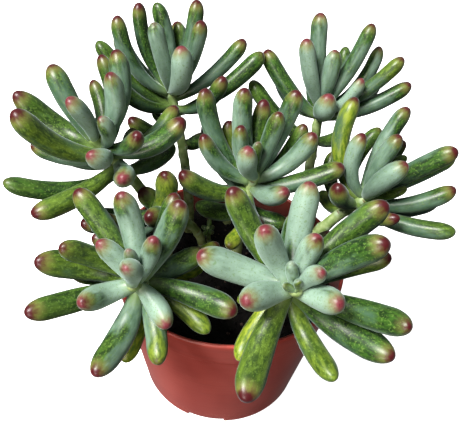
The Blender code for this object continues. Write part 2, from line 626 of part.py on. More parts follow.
def leaf_mesh(name, foot, middle, tip, width):
    """A sphere drawn out along the leaf's curve, with the leaf's width at each ring."""
    shape = bmesh.new()
    bmesh.ops.create_uvsphere(shape, u_segments=LEAF_SIDES, v_segments=LEAF_RINGS, radius=1.0)
    ball = np.array([vertex.co[:] for vertex in shape.verts])
    s = (ball[:, 2] + 1) / 2
    around = unit(ball[:, :2]) * (np.abs(ball[:, 2]) < 0.999)[:, None]
    centre = bezier(foot, middle, tip, s)
    forward = unit((1 - s)[:, None] * (middle - foot) + s[:, None] * (tip - middle))
    across = unit(np.cross(tip - foot, middle - foot))
    normal = np.cross(forward, across)
    size = FACET_SWELL * leaf_half_width(s, width, np.linalg.norm(tip - foot))[:, None]
    placed = centre + size * (around[:, :1] * across + LEAF_THICKNESS * around[:, 1:] * normal)
    for vertex, place in zip(shape.verts, placed):
        vertex.co = Vector(place)
    bmesh.ops.triangulate(shape, faces=shape.faces)
    mesh = bpy.data.meshes.new(name)
    shape.to_mesh(mesh)
    shape.free()
    return mesh


def fill_hollows(mesh):
    """Delete the inner walls of any space that the fused leaves close off, and any loose scrap."""
    shape = bmesh.new()
    shape.from_mesh(mesh)
    bmesh.ops.triangulate(shape, faces=shape.faces)
    unseen = set(shape.faces)
    inner = []
    while unseen:
        start = unseen.pop()
        island, border = [start], [start]
        while border:
            face = border.pop()
            fresh = {other for edge in face.edges for other in edge.link_faces} & unseen
            unseen -= fresh
            island.extend(fresh)
            border.extend(fresh)
        volume = sum(face.calc_center_median().dot(face.normal) * face.calc_area() for face in island)
        if volume < SMALLEST_SOLID:
            inner.extend(island)
    bmesh.ops.delete(shape, geom=inner, context="FACES")
    shape.to_mesh(mesh)
    shape.free()


def make_leafy_stem(plant, number, collection, leaf_material):
    """One stem with its leaves fused to it, their feet sunk to its middle."""
    stem = plant.stems[number]
    made = new_object(stem.name, stem_tube(stem, *plant.paths[number]), collection)
    made.data.materials.append(leaf_material)
    loose = bpy.data.collections.new("loose_leaves")
    bpy.context.scene.collection.children.link(loose)
    middles = plant.middles()
    for k in np.flatnonzero(plant.stem == number):
        mesh = leaf_mesh("leaf", plant.foot[k], middles[k], plant.tip[k], plant.width[k])
        new_object("leaf_%03d" % k, mesh, loose)
    add_boolean(made, "UNION", solver="MANIFOLD", collection=loose)
    bake(made)
    for leaf in list(loose.objects):
        bpy.data.objects.remove(leaf)
    bpy.data.collections.remove(loose)
    fill_hollows(made.data)
    made.data.shade_smooth()
    return made


def main():
    for old in list(bpy.data.objects):
        bpy.data.objects.remove(old)
    part = bpy.data.collections.new("potted_jelly_bean_plant")
    cutters = bpy.data.collections.new("cutters")
    bpy.context.scene.collection.children.link(part)
    bpy.context.scene.collection.children.link(cutters)
    plant = grow_plant()
    make_pot(part, cutters)
    make_soil(plant.stems, part, cutters)
    for number in range(len(plant.stems)):
        leaf_material = material("leaf_" + plant.stems[number].name, (0.19, 0.34, 0.20), 0.5)
        make_leafy_stem(plant, number, part, leaf_material)
    return plant


main()
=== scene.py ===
# %% [markdown]
# # A potted jelly bean plant
#
# A jelly bean plant is a stonecrop. Its leaves are fat fingers full of water, blue-green under a
# powder of wax, and red at the tips where the sun reaches them. Here it stands in a small plastic
# nursery pot.
#
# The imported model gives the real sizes: a pot, its soil and ten leafy stems, as plain faceted
# solids. This notebook puts fine surfaces in their place, grown by the same rules, and gives each
# its finish.

import math
from collections import namedtuple

import bpy
import numpy as np
from mathutils import Matrix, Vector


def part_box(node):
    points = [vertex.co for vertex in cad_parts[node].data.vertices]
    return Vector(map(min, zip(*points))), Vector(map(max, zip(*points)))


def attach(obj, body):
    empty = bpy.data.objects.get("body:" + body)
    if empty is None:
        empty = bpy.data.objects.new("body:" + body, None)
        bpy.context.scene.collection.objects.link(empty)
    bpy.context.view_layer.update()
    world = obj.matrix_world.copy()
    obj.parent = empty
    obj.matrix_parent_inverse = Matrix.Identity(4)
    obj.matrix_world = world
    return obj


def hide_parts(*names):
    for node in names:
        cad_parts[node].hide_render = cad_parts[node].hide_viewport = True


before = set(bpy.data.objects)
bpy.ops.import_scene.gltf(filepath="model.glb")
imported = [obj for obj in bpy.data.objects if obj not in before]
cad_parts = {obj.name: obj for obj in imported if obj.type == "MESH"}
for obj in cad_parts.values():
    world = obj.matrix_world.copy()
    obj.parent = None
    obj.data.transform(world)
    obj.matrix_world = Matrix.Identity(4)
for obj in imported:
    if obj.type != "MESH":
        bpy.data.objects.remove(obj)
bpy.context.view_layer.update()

MM = 0.001

# %% [markdown]
# ## The viewpoint
#
# The picture was taken from above and in front, fairly close, so the near rosettes look larger
# than the far ones. The camera could be set by eye. Here its place comes from the pot: the ellipse
# of the rim gives the angle, and the spread of the wall gives the distance.

# %% Place the camera
FOCAL_PX = 560.0
CENTRE_PX = np.array([230.0, 210.0])
PICTURE_WIDTH_PX = 460.0
VIEW_ELEVATION = math.radians(39.2)
VIEW_ROLL = math.radians(4.6)
EYE = np.array([-1.0, -180.2, 244.5]) * MM
SENSOR_MM = 36.0


def view_axes():
    """The viewpoint's right, up and backward directions, from its elevation and roll."""
    back = np.array([0.0, -math.cos(VIEW_ELEVATION), math.sin(VIEW_ELEVATION)])
    level = np.array([1.0, 0.0, 0.0])
    upright = np.cross(back, level)
    right = math.cos(VIEW_ROLL) * level + math.sin(VIEW_ROLL) * upright
    up = math.cos(VIEW_ROLL) * upright - math.sin(VIEW_ROLL) * level
    return right, up, back


RIGHT, UP, BACK = view_axes()
camera = bpy.data.objects.new("camera", bpy.data.cameras.new("camera"))
bpy.context.scene.collection.objects.link(camera)
camera.data.sensor_width = SENSOR_MM
camera.data.lens = SENSOR_MM * FOCAL_PX / PICTURE_WIDTH_PX
camera.data.clip_start = 10 * MM
camera.data.clip_end = 20.0
camera.matrix_world = Matrix([[*row, place] for row, place in zip(np.stack([RIGHT, UP, BACK], 1), EYE)]
                             + [[0, 0, 0, 1]])
bpy.context.scene.camera = camera
print("The lens is %.1f mm" % camera.data.lens)

# %% [markdown]
# ## The stems and their leaves
#
# No two leaves of the real plant are alike, and their places make its likeness. Each row below is
# one leaf, read from the picture: where its tip is, its length and width in millimetres, its skin,
# and its bend where that is unusual. A leaf is powdery while it is young. Where leaves rub, or rain
# runs, the green shows. Old leaves turn lime before they drop, and only leaves in the sun have red
# tips. Most leaves sag and turn up at the end. A heavy one droops more, and a few arch over.

# %% One row for each leaf
NEAR, SQUARE, FAR = 1, 0, -1
DROOPS, STRAIGHT, ARCHES = 1.6, 0.4, -0.5

# A leaf's row: its tip's pixel, its length, whether it points nearer or farther than its stem,
# how far down the stem it grows, its width, how powdery it is, how old, how red at the tip, and how
# much it bends beside most leaves.
Leaf = namedtuple("Leaf", "tip_x tip_y length_mm side drop_mm width_mm bloom age red bend", defaults=(1.0,))
# A stem's row: its apex's pixel and distance from the viewpoint, its foot on the soil, how much of
# its height it rises straight, its thickness, and how many leaves it may have on its hidden side.
Stem = namedtuple("Stem", "name apex_px depth_mm foot_mm rise radius_mm hidden leaves")

STEMS = [
    Stem("stem_front_left", (131, 286), 182, (-24, -27), 0.55, 2.6, 3, [
        Leaf(77, 189, 34, NEAR, 7, 8.0, 0.45, 0.35, 1.0, STRAIGHT),
        Leaf(119, 192, 33, SQUARE, 4, 8.4, 0.95, 0.15, 1.0),
        Leaf(180, 201, 33, SQUARE, 6, 8.8, 0.75, 0.3, 1.0),
        Leaf(99, 241, 16, NEAR, 3, 7.6, 1.0, 0.1, 1.0),
        Leaf(153, 237, 17, NEAR, 3, 6.8, 1.0, 0.1, 1.0),
        Leaf(129, 249, 10, NEAR, 1, 4.6, 0.8, 0.35, 0.3),
        Leaf(125, 266, 14, NEAR, 0, 7.6, 1.0, 0.1, 0.6),
        Leaf(35, 261, 33, SQUARE, 8, 9.6, 0.45, 0.4, 1.0, DROOPS),
        Leaf(60, 247, 30, FAR, 11, 7.4, 0.3, 0.4, 0.5),
        Leaf(25, 313, 33, FAR, 12, 8.4, 0.3, 0.3, 1.0),
        Leaf(80, 303, 20, NEAR, 6, 8.6, 0.95, 0.1, 1.0, DROOPS),
        Leaf(94, 374, 32, SQUARE, 7, 9.4, 0.7, 0.3, 0.9, DROOPS),
        Leaf(124, 362, 30, FAR, 14, 7.4, 0.05, 0.9, 0.0),
        Leaf(158, 364, 26, NEAR, 9, 7.8, 0.7, 0.6, 0.3),
        Leaf(167, 327, 18, NEAR, 5, 8.0, 1.0, 0.05, 1.0),
        Leaf(236, 312, 34, SQUARE, 11, 9.2, 0.4, 0.2, 0.8),
        Leaf(209, 332, 26, FAR, 15, 7.4, 0.2, 0.6, 0.0),
        Leaf(204, 250, 26, FAR, 9, 7.8, 0.6, 0.3, 0.8),
        Leaf(203, 266, 26, FAR, 17, 6.4, 0.0, 1.0, 0.0),
        Leaf(174, 192, 30, FAR, 8, 7.6, 0.5, 0.2, 0.8),
        Leaf(219, 243, 30, FAR, 22, 6.6, 0.3, 0.7, 0.6)]),
    Stem("stem_front_right", (298, 291), 178, (17, -30), 0.55, 2.7, 3, [
        Leaf(231, 187, 36, SQUARE, 12, 8.8, 0.35, 0.35, 1.0),
        Leaf(198, 254, 36, SQUARE, 5, 10.4, 0.9, 0.2, 1.0),
        Leaf(265, 228, 26, NEAR, 4, 8.6, 1.0, 0.05, 1.0),
        Leaf(312, 182, 35, SQUARE, 3, 9.0, 0.95, 0.1, 1.0),
        Leaf(319, 236, 18, NEAR, 3, 7.6, 0.95, 0.1, 1.0),
        Leaf(388, 203, 36, SQUARE, 6, 9.0, 0.35, 0.3, 1.0),
        Leaf(388, 242, 33, NEAR, 5, 9.6, 0.65, 0.15, 1.0),
        Leaf(391, 256, 30, FAR, 10, 7.2, 0.5, 0.4, 0.7),
        Leaf(320, 271, 12, NEAR, 2, 6.4, 1.0, 0.1, 0.7),
        Leaf(292, 264, 10, NEAR, 1, 4.4, 0.9, 0.3, 0.1),
        Leaf(292, 285, 5, NEAR, 0, 3.0, 0.8, 0.4, 0.1),
        Leaf(303, 287, 5, NEAR, 0, 3.0, 0.8, 0.4, 0.1),
        Leaf(245, 301, 20, NEAR, 5, 9.8, 1.0, 0.05, 1.0),
        Leaf(341, 304, 18, NEAR, 5, 9.2, 1.0, 0.05, 1.0),
        Leaf(410, 327, 33, SQUARE, 9, 9.0, 0.45, 0.25, 0.5, DROOPS),
        Leaf(394, 357, 32, SQUARE, 10, 10.6, 0.5, 0.25, 0.8, DROOPS),
        Leaf(335, 379, 28, SQUARE, 12, 7.8, 0.4, 0.5, 0.0, DROOPS),
        Leaf(245, 401, 33, SQUARE, 10, 10.0, 0.15, 0.4, 1.0),
        Leaf(238, 360, 26, FAR, 16, 7.6, 0.0, 0.95, 0.0),
        Leaf(240, 300, 20, FAR, 14, 5.4, 0.1, 0.8, 0.0)]),
    Stem("stem_left", (90, 136), 199, (-27, 0), 0.5, 2.4, 4, [
        Leaf(14, 92, 37, FAR, 6, 9.0, 0.4, 0.3, 1.0, DROOPS),
        Leaf(13, 110, 38, NEAR, 11, 8.8, 0.35, 0.45, 1.0, DROOPS),
        Leaf(51, 64, 33, SQUARE, 3, 8.0, 0.5, 0.3, 1.0, ARCHES),
        Leaf(67, 98, 19, NEAR, 2, 6.8, 0.8, 0.1, 1.0),
        Leaf(94, 79, 25, FAR, 3, 5.8, 0.5, 0.3, 0.8),
        Leaf(114, 49, 36, FAR, 4, 8.0, 0.7, 0.15, 1.0),
        Leaf(109, 72, 28, SQUARE, 4, 8.2, 0.8, 0.1, 0.9),
        Leaf(99, 117, 16, NEAR, 6, 6.4, 0.75, 0.2, 0.4),
        Leaf(86, 149, 13, NEAR, 9, 8.6, 0.85, 0.05, 0.9),
        Leaf(138, 133, 20, NEAR, 7, 6.8, 0.6, 0.2, 1.0),
        Leaf(184, 118, 34, SQUARE, 9, 8.8, 0.55, 0.25, 1.3),
        Leaf(176, 105, 34, FAR, 9, 7.2, 0.4, 0.4, 1.0),
        Leaf(122, 178, 15, NEAR, 15, 8.6, 0.85, 0.05, 1.0),
        Leaf(3, 181, 36, FAR, 19, 7.8, 0.1, 0.15, 0.2),
        Leaf(31, 214, 32, SQUARE, 17, 8.4, 0.3, 0.4, 1.0, STRAIGHT),
        Leaf(100, 54, 37, FAR, 8, 6.2, 0.5, 0.3, 1.0),
        Leaf(133, 128, 20, FAR, 10, 6.2, 0.3, 0.3, 0.7),
        Leaf(173, 144, 29, FAR, 21, 8.4, 0.2, 0.2, 0.5, STRAIGHT)]),
    Stem("stem_back_left", (168, 80), 232, (-20, 24), 0.5, 2.3, 4, [
        Leaf(117, 15, 31, SQUARE, 6, 6.8, 0.65, 0.25, 1.0, DROOPS),
        Leaf(139, 2, 31, SQUARE, 4, 6.4, 0.45, 0.25, 1.0, DROOPS),
        Leaf(156, 2, 31, FAR, 3, 6.6, 0.7, 0.25, 0.1),
        Leaf(154, 22, 33, NEAR, 5, 6.4, 0.75, 0.15, 0.3),
        Leaf(178, 22, 25, FAR, 3, 5.6, 0.55, 0.3, 0.4),
        Leaf(197, -1, 34, FAR, 5, 6.8, 0.6, 0.2, 1.0, STRAIGHT),
        Leaf(201, 20, 34, NEAR, 6, 6.8, 0.7, 0.15, 1.0, STRAIGHT),
        Leaf(180, 44, 24, NEAR, 4, 9.2, 0.85, 0.05, 1.0),
        Leaf(245, 39, 33, SQUARE, 8, 7.0, 0.6, 0.2, 1.0, STRAIGHT),
        Leaf(224, 76, 28, NEAR, 12, 7.0, 0.5, 0.3, 1.0),
        Leaf(263, 52, 36, FAR, 14, 7.8, 0.3, 0.2, 0.4, STRAIGHT),
        Leaf(98, 40, 33, FAR, 12, 7.0, 0.3, 0.3, 0.1, STRAIGHT),
        Leaf(117, 80, 26, NEAR, 11, 6.8, 0.45, 0.3, 0.8),
        Leaf(129, 117, 20, NEAR, 23, 8.0, 0.2, 0.3, 1.0),
        Leaf(153, 110, 8, NEAR, 19, 4.2, 0.3, 0.3, 0.2),
        Leaf(204, 133, 16, FAR, 27, 7.0, 0.2, 0.2, 0.9)]),
    Stem("stem_centre", (256, 172), 216, (3, 1), 0.5, 2.5, 3, [
        Leaf(205, 88, 34, SQUARE, 6, 8.0, 0.6, 0.25, 1.0),
        Leaf(246, 88, 32, FAR, 3, 8.4, 0.75, 0.1, 1.0),
        Leaf(264, 99, 32, FAR, 6, 7.2, 0.3, 0.3, 1.2),
        Leaf(298, 90, 33, SQUARE, 4, 7.8, 0.75, 0.15, 1.0),
        Leaf(280, 112, 26, NEAR, 3, 7.0, 0.7, 0.3, 0.6),
        Leaf(244, 125, 20, NEAR, 3, 7.0, 0.75, 0.1, 0.8),
        Leaf(250, 145, 17, NEAR, 2, 8.6, 0.85, 0.05, 1.0),
        Leaf(256, 142, 12, FAR, 1, 4.4, 0.65, 0.3, 0.3),
        Leaf(203, 134, 24, NEAR, 5, 7.4, 0.65, 0.2, 1.0),
        Leaf(315, 133, 28, NEAR, 4, 8.0, 0.8, 0.1, 1.0),
        Leaf(180, 172, 30, NEAR, 10, 8.6, 0.4, 0.4, 1.0),
        Leaf(345, 166, 37, NEAR, 9, 8.0, 0.55, 0.3, 1.0, STRAIGHT),
        Leaf(287, 190, 18, NEAR, 7, 9.0, 0.85, 0.05, 1.0),
        Leaf(196, 203, 28, FAR, 16, 8.2, 0.2, 0.3, 0.2),
        Leaf(288, 222, 24, SQUARE, 18, 8.2, 0.5, 0.2, 0.3),
        Leaf(305, 124, 26, FAR, 12, 7.2, 0.3, 0.2, 0.5),
        Leaf(228, 248, 20, SQUARE, 30, 6.6, 0.1, 0.9, 0.3),
        Leaf(228, 120, 24, FAR, 8, 6.6, 0.2, 0.5, 0.8)]),
    Stem("stem_back_right", (322, 98), 238, (32, 22), 0.5, 2.3, 4, [
        Leaf(321, 12, 33, FAR, 4, 7.4, 0.7, 0.15, 1.0, STRAIGHT),
        Leaf(307, 38, 32, NEAR, 4, 7.2, 0.85, 0.05, 1.0, STRAIGHT),
        Leaf(322, 33, 29, NEAR, 3, 5.2, 0.55, 0.3, 0.1),
        Leaf(335, 49, 24, NEAR, 2, 6.8, 0.7, 0.3, 0.6),
        Leaf(346, 46, 24, FAR, 3, 5.8, 0.65, 0.3, 0.1),
        Leaf(373, 23, 33, FAR, 5, 6.8, 0.7, 0.2, 0.8, STRAIGHT),
        Leaf(380, 46, 30, SQUARE, 4, 6.6, 0.7, 0.15, 0.8),
        Leaf(403, 58, 33, FAR, 6, 6.6, 0.5, 0.45, 0.7, STRAIGHT),
        Leaf(411, 82, 33, SQUARE, 8, 7.0, 0.6, 0.2, 1.0, STRAIGHT),
        Leaf(362, 78, 22, NEAR, 4, 5.8, 0.85, 0.05, 0.8),
        Leaf(331, 93, 16, NEAR, 6, 9.6, 0.85, 0.1, 1.2),
        Leaf(266, 49, 32, SQUARE, 8, 8.0, 0.45, 0.25, 1.0, STRAIGHT),
        Leaf(345, 133, 20, NEAR, 18, 6.6, 0.2, 0.3, 0.3, STRAIGHT),
        Leaf(251, 80, 34, FAR, 20, 7.6, 0.1, 0.3, 0.3, STRAIGHT)]),
    Stem("stem_right", (373, 192), 222, (27, -4), 0.5, 2.6, 3, [
        Leaf(409, 107, 33, FAR, 5, 7.2, 0.65, 0.2, 1.0, STRAIGHT),
        Leaf(401, 135, 28, NEAR, 3, 7.2, 0.65, 0.25, 0.9, STRAIGHT),
        Leaf(357, 97, 38, SQUARE, 6, 8.0, 0.3, 0.8, 0.8),
        Leaf(364, 133, 26, NEAR, 4, 7.0, 0.75, 0.1, 1.1),
        Leaf(408, 163, 26, NEAR, 3, 8.0, 0.75, 0.15, 0.9),
        Leaf(407, 156, 18, FAR, 2, 5.0, 0.55, 0.35, 0.1),
        Leaf(458, 150, 33, FAR, 5, 7.4, 0.6, 0.2, 1.0, ARCHES),
        Leaf(455, 155, 33, SQUARE, 6, 6.6, 0.55, 0.3, 0.6, STRAIGHT),
        Leaf(455, 190, 32, SQUARE, 5, 7.4, 0.55, 0.2, 1.0),
        Leaf(457, 229, 34, SQUARE, 8, 7.6, 0.55, 0.35, 0.1, STRAIGHT),
        Leaf(400, 217, 22, NEAR, 7, 5.4, 0.4, 0.4, 1.2),
        Leaf(339, 184, 16, NEAR, 8, 8.6, 0.45, 0.3, 1.1),
        Leaf(407, 187, 16, NEAR, 2, 4.0, 0.45, 0.4, 0.2),
        Leaf(381, 128, 24, FAR, 10, 6.6, 0.2, 0.3, 0.3),
        Leaf(334, 151, 18, FAR, 12, 6.6, 0.3, 0.3, 0.4),
        Leaf(323, 192, 24, FAR, 14, 6.6, 0.1, 0.6, 0.0, STRAIGHT)]),
    Stem("stem_inner_left", (152, 210), 214, (-12, 8), 0.5, 1.9, 3, [
        Leaf(143, 188, 14, SQUARE, 3, 8.2, 0.4, 0.3, 0.9),
        Leaf(144, 214, 14, NEAR, 3, 8.6, 0.5, 0.2, 0.9),
        Leaf(159, 168, 20, SQUARE, 2, 9.0, 0.15, 0.7, 0.6)]),
    Stem("stem_back", (236, 166), 272, (-2, 33), 0.5, 2.1, 5, []),
    Stem("sprout", (208, 226), 260, (-10, 16), 0.5, 0.9, 0, [
        Leaf(202, 224, 5, SQUARE, 1, 2.6, 0.5, 0.2, 0.1),
        Leaf(215, 225, 5, SQUARE, 2, 2.6, 0.5, 0.2, 0.1),
        Leaf(208, 218, 5, SQUARE, 1, 2.4, 0.5, 0.2, 0.1),
        Leaf(203, 230, 4, NEAR, 2, 2.4, 0.5, 0.2, 0.1),
        Leaf(213, 231, 4, NEAR, 1, 2.4, 0.5, 0.2, 0.1)]),
]
print("%d stems and %d leaves seen" % (len(STEMS), sum(len(stem.leaves) for stem in STEMS)))

# %% [markdown]
# ## From pixels to places
#
# A pixel alone is only a direction. A stem's apex gets its depth from its row. A leaf is a stick of
# known length that is fixed to its stem at one end, so its tip lies where that length meets the
# line of sight. The two places where it does are the leaf pointing nearer or farther, and the row
# says which.

# %% Sight lines and curves
SOIL_LEVEL = 63.5 * MM
SOIL_MOUND = 1.5 * MM
STEM_DEPTH = 12.0 * MM
GAP = 0.3 * MM
STEM_TAPER = 0.82


def unit(vectors):
    """Vectors of length one, along the last axis."""
    return vectors / np.maximum(np.linalg.norm(vectors, axis=-1, keepdims=True), 1e-12)


def sight_line(pixel):
    """The direction from the eye through a pixel, one unit deep along the view."""
    across, down = (np.asarray(pixel, float) - CENTRE_PX) / FOCAL_PX
    return across * RIGHT - down * UP - BACK


def to_picture(points):
    """The pixels and depths at which points are seen."""
    offset = points - EYE
    depth = -(offset @ BACK)
    pixels = np.stack([offset @ RIGHT, -(offset @ UP)], -1) / depth[..., None] * FOCAL_PX + CENTRE_PX
    return pixels, depth


def between(ends, share):
    """The value a given share of the way from the first of a pair to the second."""
    return ends[0] + share * (ends[1] - ends[0])


def bezier(start, middle, end, s):
    """Points at the fractions s of a quadratic curve."""
    s = np.asarray(s)[..., None]
    return (1 - s) ** 2 * start + 2 * s * (1 - s) * middle + s * s * end


def stem_path(stem, count=81):
    """Points from the stem's foot on the soil, up and over to its apex, and the length run at each."""
    apex = EYE + stem.depth_mm * MM * sight_line(stem.apex_px)
    foot = np.array([stem.foot_mm[0] * MM, stem.foot_mm[1] * MM, SOIL_LEVEL])
    middle = foot + np.array([0.0, 0.0, stem.rise * (apex[2] - foot[2])])
    points = bezier(foot, middle, apex, np.linspace(0, 1, count))
    run = np.concatenate([[0.0], np.cumsum(np.linalg.norm(np.diff(points, axis=0), axis=1))])
    return points, run


def point_on_stem(path, run, drop):
    """The point a given length down from the apex, and the stem's direction there."""
    where = max(run[-1] - drop, run[1])
    point = np.array([np.interp(where, run, path[:, k]) for k in range(3)])
    after = int(np.searchsorted(run, where))
    direction = unit(path[after] - path[max(after - 3, 0)])
    return point, direction


# %% Leaves as arrays
LEAF_SAG = 0.54
BEND_AT = 0.42
SAG_SPREAD = 0.3, 0.65


def leaf_half_width(s, width, length):
    """Half its full width at the foot, full at two thirds, and an end as round as a bean's."""
    body = 0.48 + 0.52 * np.sin(math.pi / 2 * np.clip(s / 0.70, 0, 1)) ** 1.3
    end = np.minimum(0.75 * width / length, 0.5)
    return 0.5 * width * body * np.sqrt(1 - np.clip((s - 1 + end) / end, 0, 1) ** 2.2)


class Plant:
    """All leaves as arrays: the stem each grows from, its foot, tip, stem direction, width and skin."""

    def __init__(self, stems):
        self.stems = stems
        self.paths = [stem_path(stem) for stem in stems]
        self.stem = np.zeros(0, int)
        self.foot, self.tip, self.axis, self.sight, self.skin = (np.zeros((0, 3)) for _ in range(5))
        self.width = np.zeros(0)
        self.bend = np.zeros(0)

    def add(self, stem, foot, tip, axis, width, skin, bend=1.0):
        self.stem = np.append(self.stem, stem)
        self.foot = np.vstack([self.foot, foot])
        self.tip = np.vstack([self.tip, tip])
        self.axis = np.vstack([self.axis, axis])
        self.sight = np.vstack([self.sight, unit(tip - EYE)])
        self.width = np.append(self.width, width)
        self.bend = np.append(self.bend, bend)
        self.skin = np.vstack([self.skin, skin])

    def lengths(self):
        """The straight distance from each foot to its tip."""
        return np.linalg.norm(self.tip - self.foot, axis=1)

    def middles(self):
        """The curve's middle point, below the straight line the more a leaf spreads, by its bend."""
        reach = self.tip - self.foot
        along = unit(reach)
        down = (self.axis * along).sum(1)[:, None] * along - self.axis
        spread = np.clip(np.linalg.norm(down, axis=1), *SAG_SPREAD)
        sag = LEAF_SAG * self.bend * spread * self.lengths()
        return self.foot + BEND_AT * reach + sag[:, None] * unit(down)

    def chains(self, count=8, first=0.22):
        """Centres and radii of spheres strung along each leaf, and their fractions of its length."""
        s = np.broadcast_to(np.linspace(first, 1.0, count), (len(self.width), count))
        centres = bezier(self.foot[:, None], self.middles()[:, None], self.tip[:, None], s)
        return centres, leaf_half_width(s, self.width[:, None], self.lengths()[:, None]), s


def add_seen_leaves(plant):
    """Each leaf reaches from its stem to where its tip's sight line meets its length, or passes closest."""
    for number, stem in enumerate(plant.stems):
        path, run = plant.paths[number]
        for leaf in stem.leaves:
            foot, axis = point_on_stem(path, run, leaf.drop_mm * MM)
            line = unit(sight_line((leaf.tip_x, leaf.tip_y)))
            closest = float((foot - EYE) @ line)
            miss = float((foot - EYE) @ (foot - EYE)) - closest ** 2
            half_chord = math.sqrt(max((leaf.length_mm * MM) ** 2 - miss, 0.0))
            tip = EYE + (closest - leaf.side * half_chord) * line
            plant.add(number, foot, tip, axis, leaf.width_mm * MM,
                      (leaf.bloom, leaf.age, leaf.red), leaf.bend)


# %% [markdown]
# ## Leaves that the picture hides
#
# A rosette has leaves all round, and a camera sees only its front. On most plants each new leaf
# stands about 137.5 degrees round from the last, the golden angle, which keeps leaves out of each
# other's light. The hidden leaves follow that rule, and only where the picture could not show them.

# %% Hidden leaves
HIDDEN_TRIES = 60
HIDDEN_DROP = 3.0 * MM, 23.0 * MM
HIDDEN_SPREAD = math.radians(38), math.radians(100)
HIDDEN_LENGTH = 31.0 * MM, 26.0 * MM
HIDDEN_WIDTH = 7.6 * MM, 6.8 * MM
HIDDEN_SHARE = 0.75
HIDDEN_SKIN = (0.65, 0.25, 0.9)
GOLDEN_ANGLE = math.radians(137.508)


def hidden_share(points, radii, seen):
    """The share of a chain of spheres that lies behind the leaves already placed, as the eye sees it."""
    pixels, depth = to_picture(points)
    size = radii * FOCAL_PX / depth
    centres, widths, _ = seen
    seen_pixels, seen_depth = to_picture(centres.reshape(-1, 3))
    seen_size = widths.reshape(-1) * FOCAL_PX / seen_depth
    apart = np.linalg.norm(pixels[:, None] - seen_pixels[None], axis=2)
    covered = (apart + 0.3 * size[:, None] < seen_size[None]) & (depth[:, None] > seen_depth[None])
    return covered.any(axis=1).mean()


def add_hidden_leaves(plant):
    """Leaves turned by the golden angle down each stem, where they are hidden and there is room."""
    for number, stem in enumerate(plant.stems):
        path, run = plant.paths[number]
        added = 0
        for turn in range(HIDDEN_TRIES):
            if added == stem.hidden:
                break
            share = turn / HIDDEN_TRIES
            spread = between(HIDDEN_SPREAD, share)
            foot, axis = point_on_stem(path, run, between(HIDDEN_DROP, share))
            side = unit(np.cross(axis, [0.3, 0.9, 0.1]))
            other = np.cross(axis, side)
            around = math.cos(turn * GOLDEN_ANGLE) * side + math.sin(turn * GOLDEN_ANGLE) * other
            heading = math.cos(spread) * axis + math.sin(spread) * around
            tip = foot + between(HIDDEN_LENGTH, share) * heading
            trial = Plant(plant.stems)
            trial.add(number, foot, tip, axis, between(HIDDEN_WIDTH, share), HIDDEN_SKIN)
            centres, radii, _ = trial.chains(10, 0.4)
            seen = plant.chains(16, 0.15)
            if hidden_share(centres[0], radii[0], seen) < HIDDEN_SHARE:
                continue
            apart = np.linalg.norm(centres[0][:, None] - seen[0].reshape(-1, 3)[None], axis=2)
            room = (apart - radii[0][:, None] - seen[1].reshape(-1)[None]).min()
            if room < -2.0 * MM or centres[0][:, 2].min() < SOIL_LEVEL + 3 * MM:
                continue
            plant.add(number, foot, tip, axis, between(HIDDEN_WIDTH, share), HIDDEN_SKIN)
            added += 1


# %% [markdown]
# ## Making room
#
# Real leaves push each other aside as they swell. Here each leaf is a string of spheres. Where two
# strings touch, both leaves swing about their feet, first along their lines of sight, where the
# picture does not show it, and then any way they need.

# %% Swing the leaves clear of each other
RIM_RADIUS = round(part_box("pot")[1].x, 4)
POT_HEIGHT = round(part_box("pot")[1].z, 4)
BASE_RADIUS = 38.3 * MM
WALL = 1.6 * MM
COLLAR_STEP = 0.6 * MM
CLEARANCE = 0.7 * MM
BEND_STEPS = 260
NEIGHBOUR_REACH = 24.0 * MM


def push_apart(centres, radii, pairs, gaps, push):
    """Add to push what moves each touching pair of spheres apart."""
    first, second = pairs
    offset = centres[first] - centres[second]
    apart = np.linalg.norm(offset, axis=1)
    over = radii[first] + radii[second] + gaps - apart
    touching = over > 0
    move = (0.5 * over[touching] / np.maximum(apart[touching], 1e-9))[:, None] * offset[touching]
    np.add.at(push, first[touching], move)
    np.add.at(push, second[touching], -move)


def push_from_stems(centres, radii, pairs, stem_points, stem_radii, push):
    """Add to push what moves each leaf sphere off another stem."""
    first, second = pairs
    offset = centres[first] - stem_points[second]
    apart = np.linalg.norm(offset, axis=1)
    over = radii[first] + stem_radii[second] + CLEARANCE - apart
    touching = over > 0
    move = (0.6 * over[touching] / np.maximum(apart[touching], 1e-9))[:, None] * offset[touching]
    np.add.at(push, first[touching], move)


def push_from_pot(centres, radii, push):
    """Add to push what lifts a leaf off the soil and moves it off the pot's wall, in or out."""
    out = np.linalg.norm(centres[:, :2], axis=1)
    low = SOIL_LEVEL + SOIL_MOUND + CLEARANCE + radii - centres[:, 2]
    push[:, 2] += np.where((out < RIM_RADIUS - 2 * MM) & (low > 0), low, 0.0)
    height = np.clip(centres[:, 2], 0.0, POT_HEIGHT)
    wall = BASE_RADIUS + (RIM_RADIUS - BASE_RADIUS) * height / POT_HEIGHT - WALL / 2
    sideways = out - wall
    above = centres[:, 2] - height
    apart = np.maximum(np.hypot(sideways, above), 1e-9)
    over = np.maximum(radii + WALL / 2 + COLLAR_STEP + CLEARANCE - apart, 0.0)
    radial = centres[:, :2] / np.maximum(out, 1e-9)[:, None]
    push[:, :2] += (over * sideways / apart)[:, None] * radial
    push[:, 2] += over * above / apart


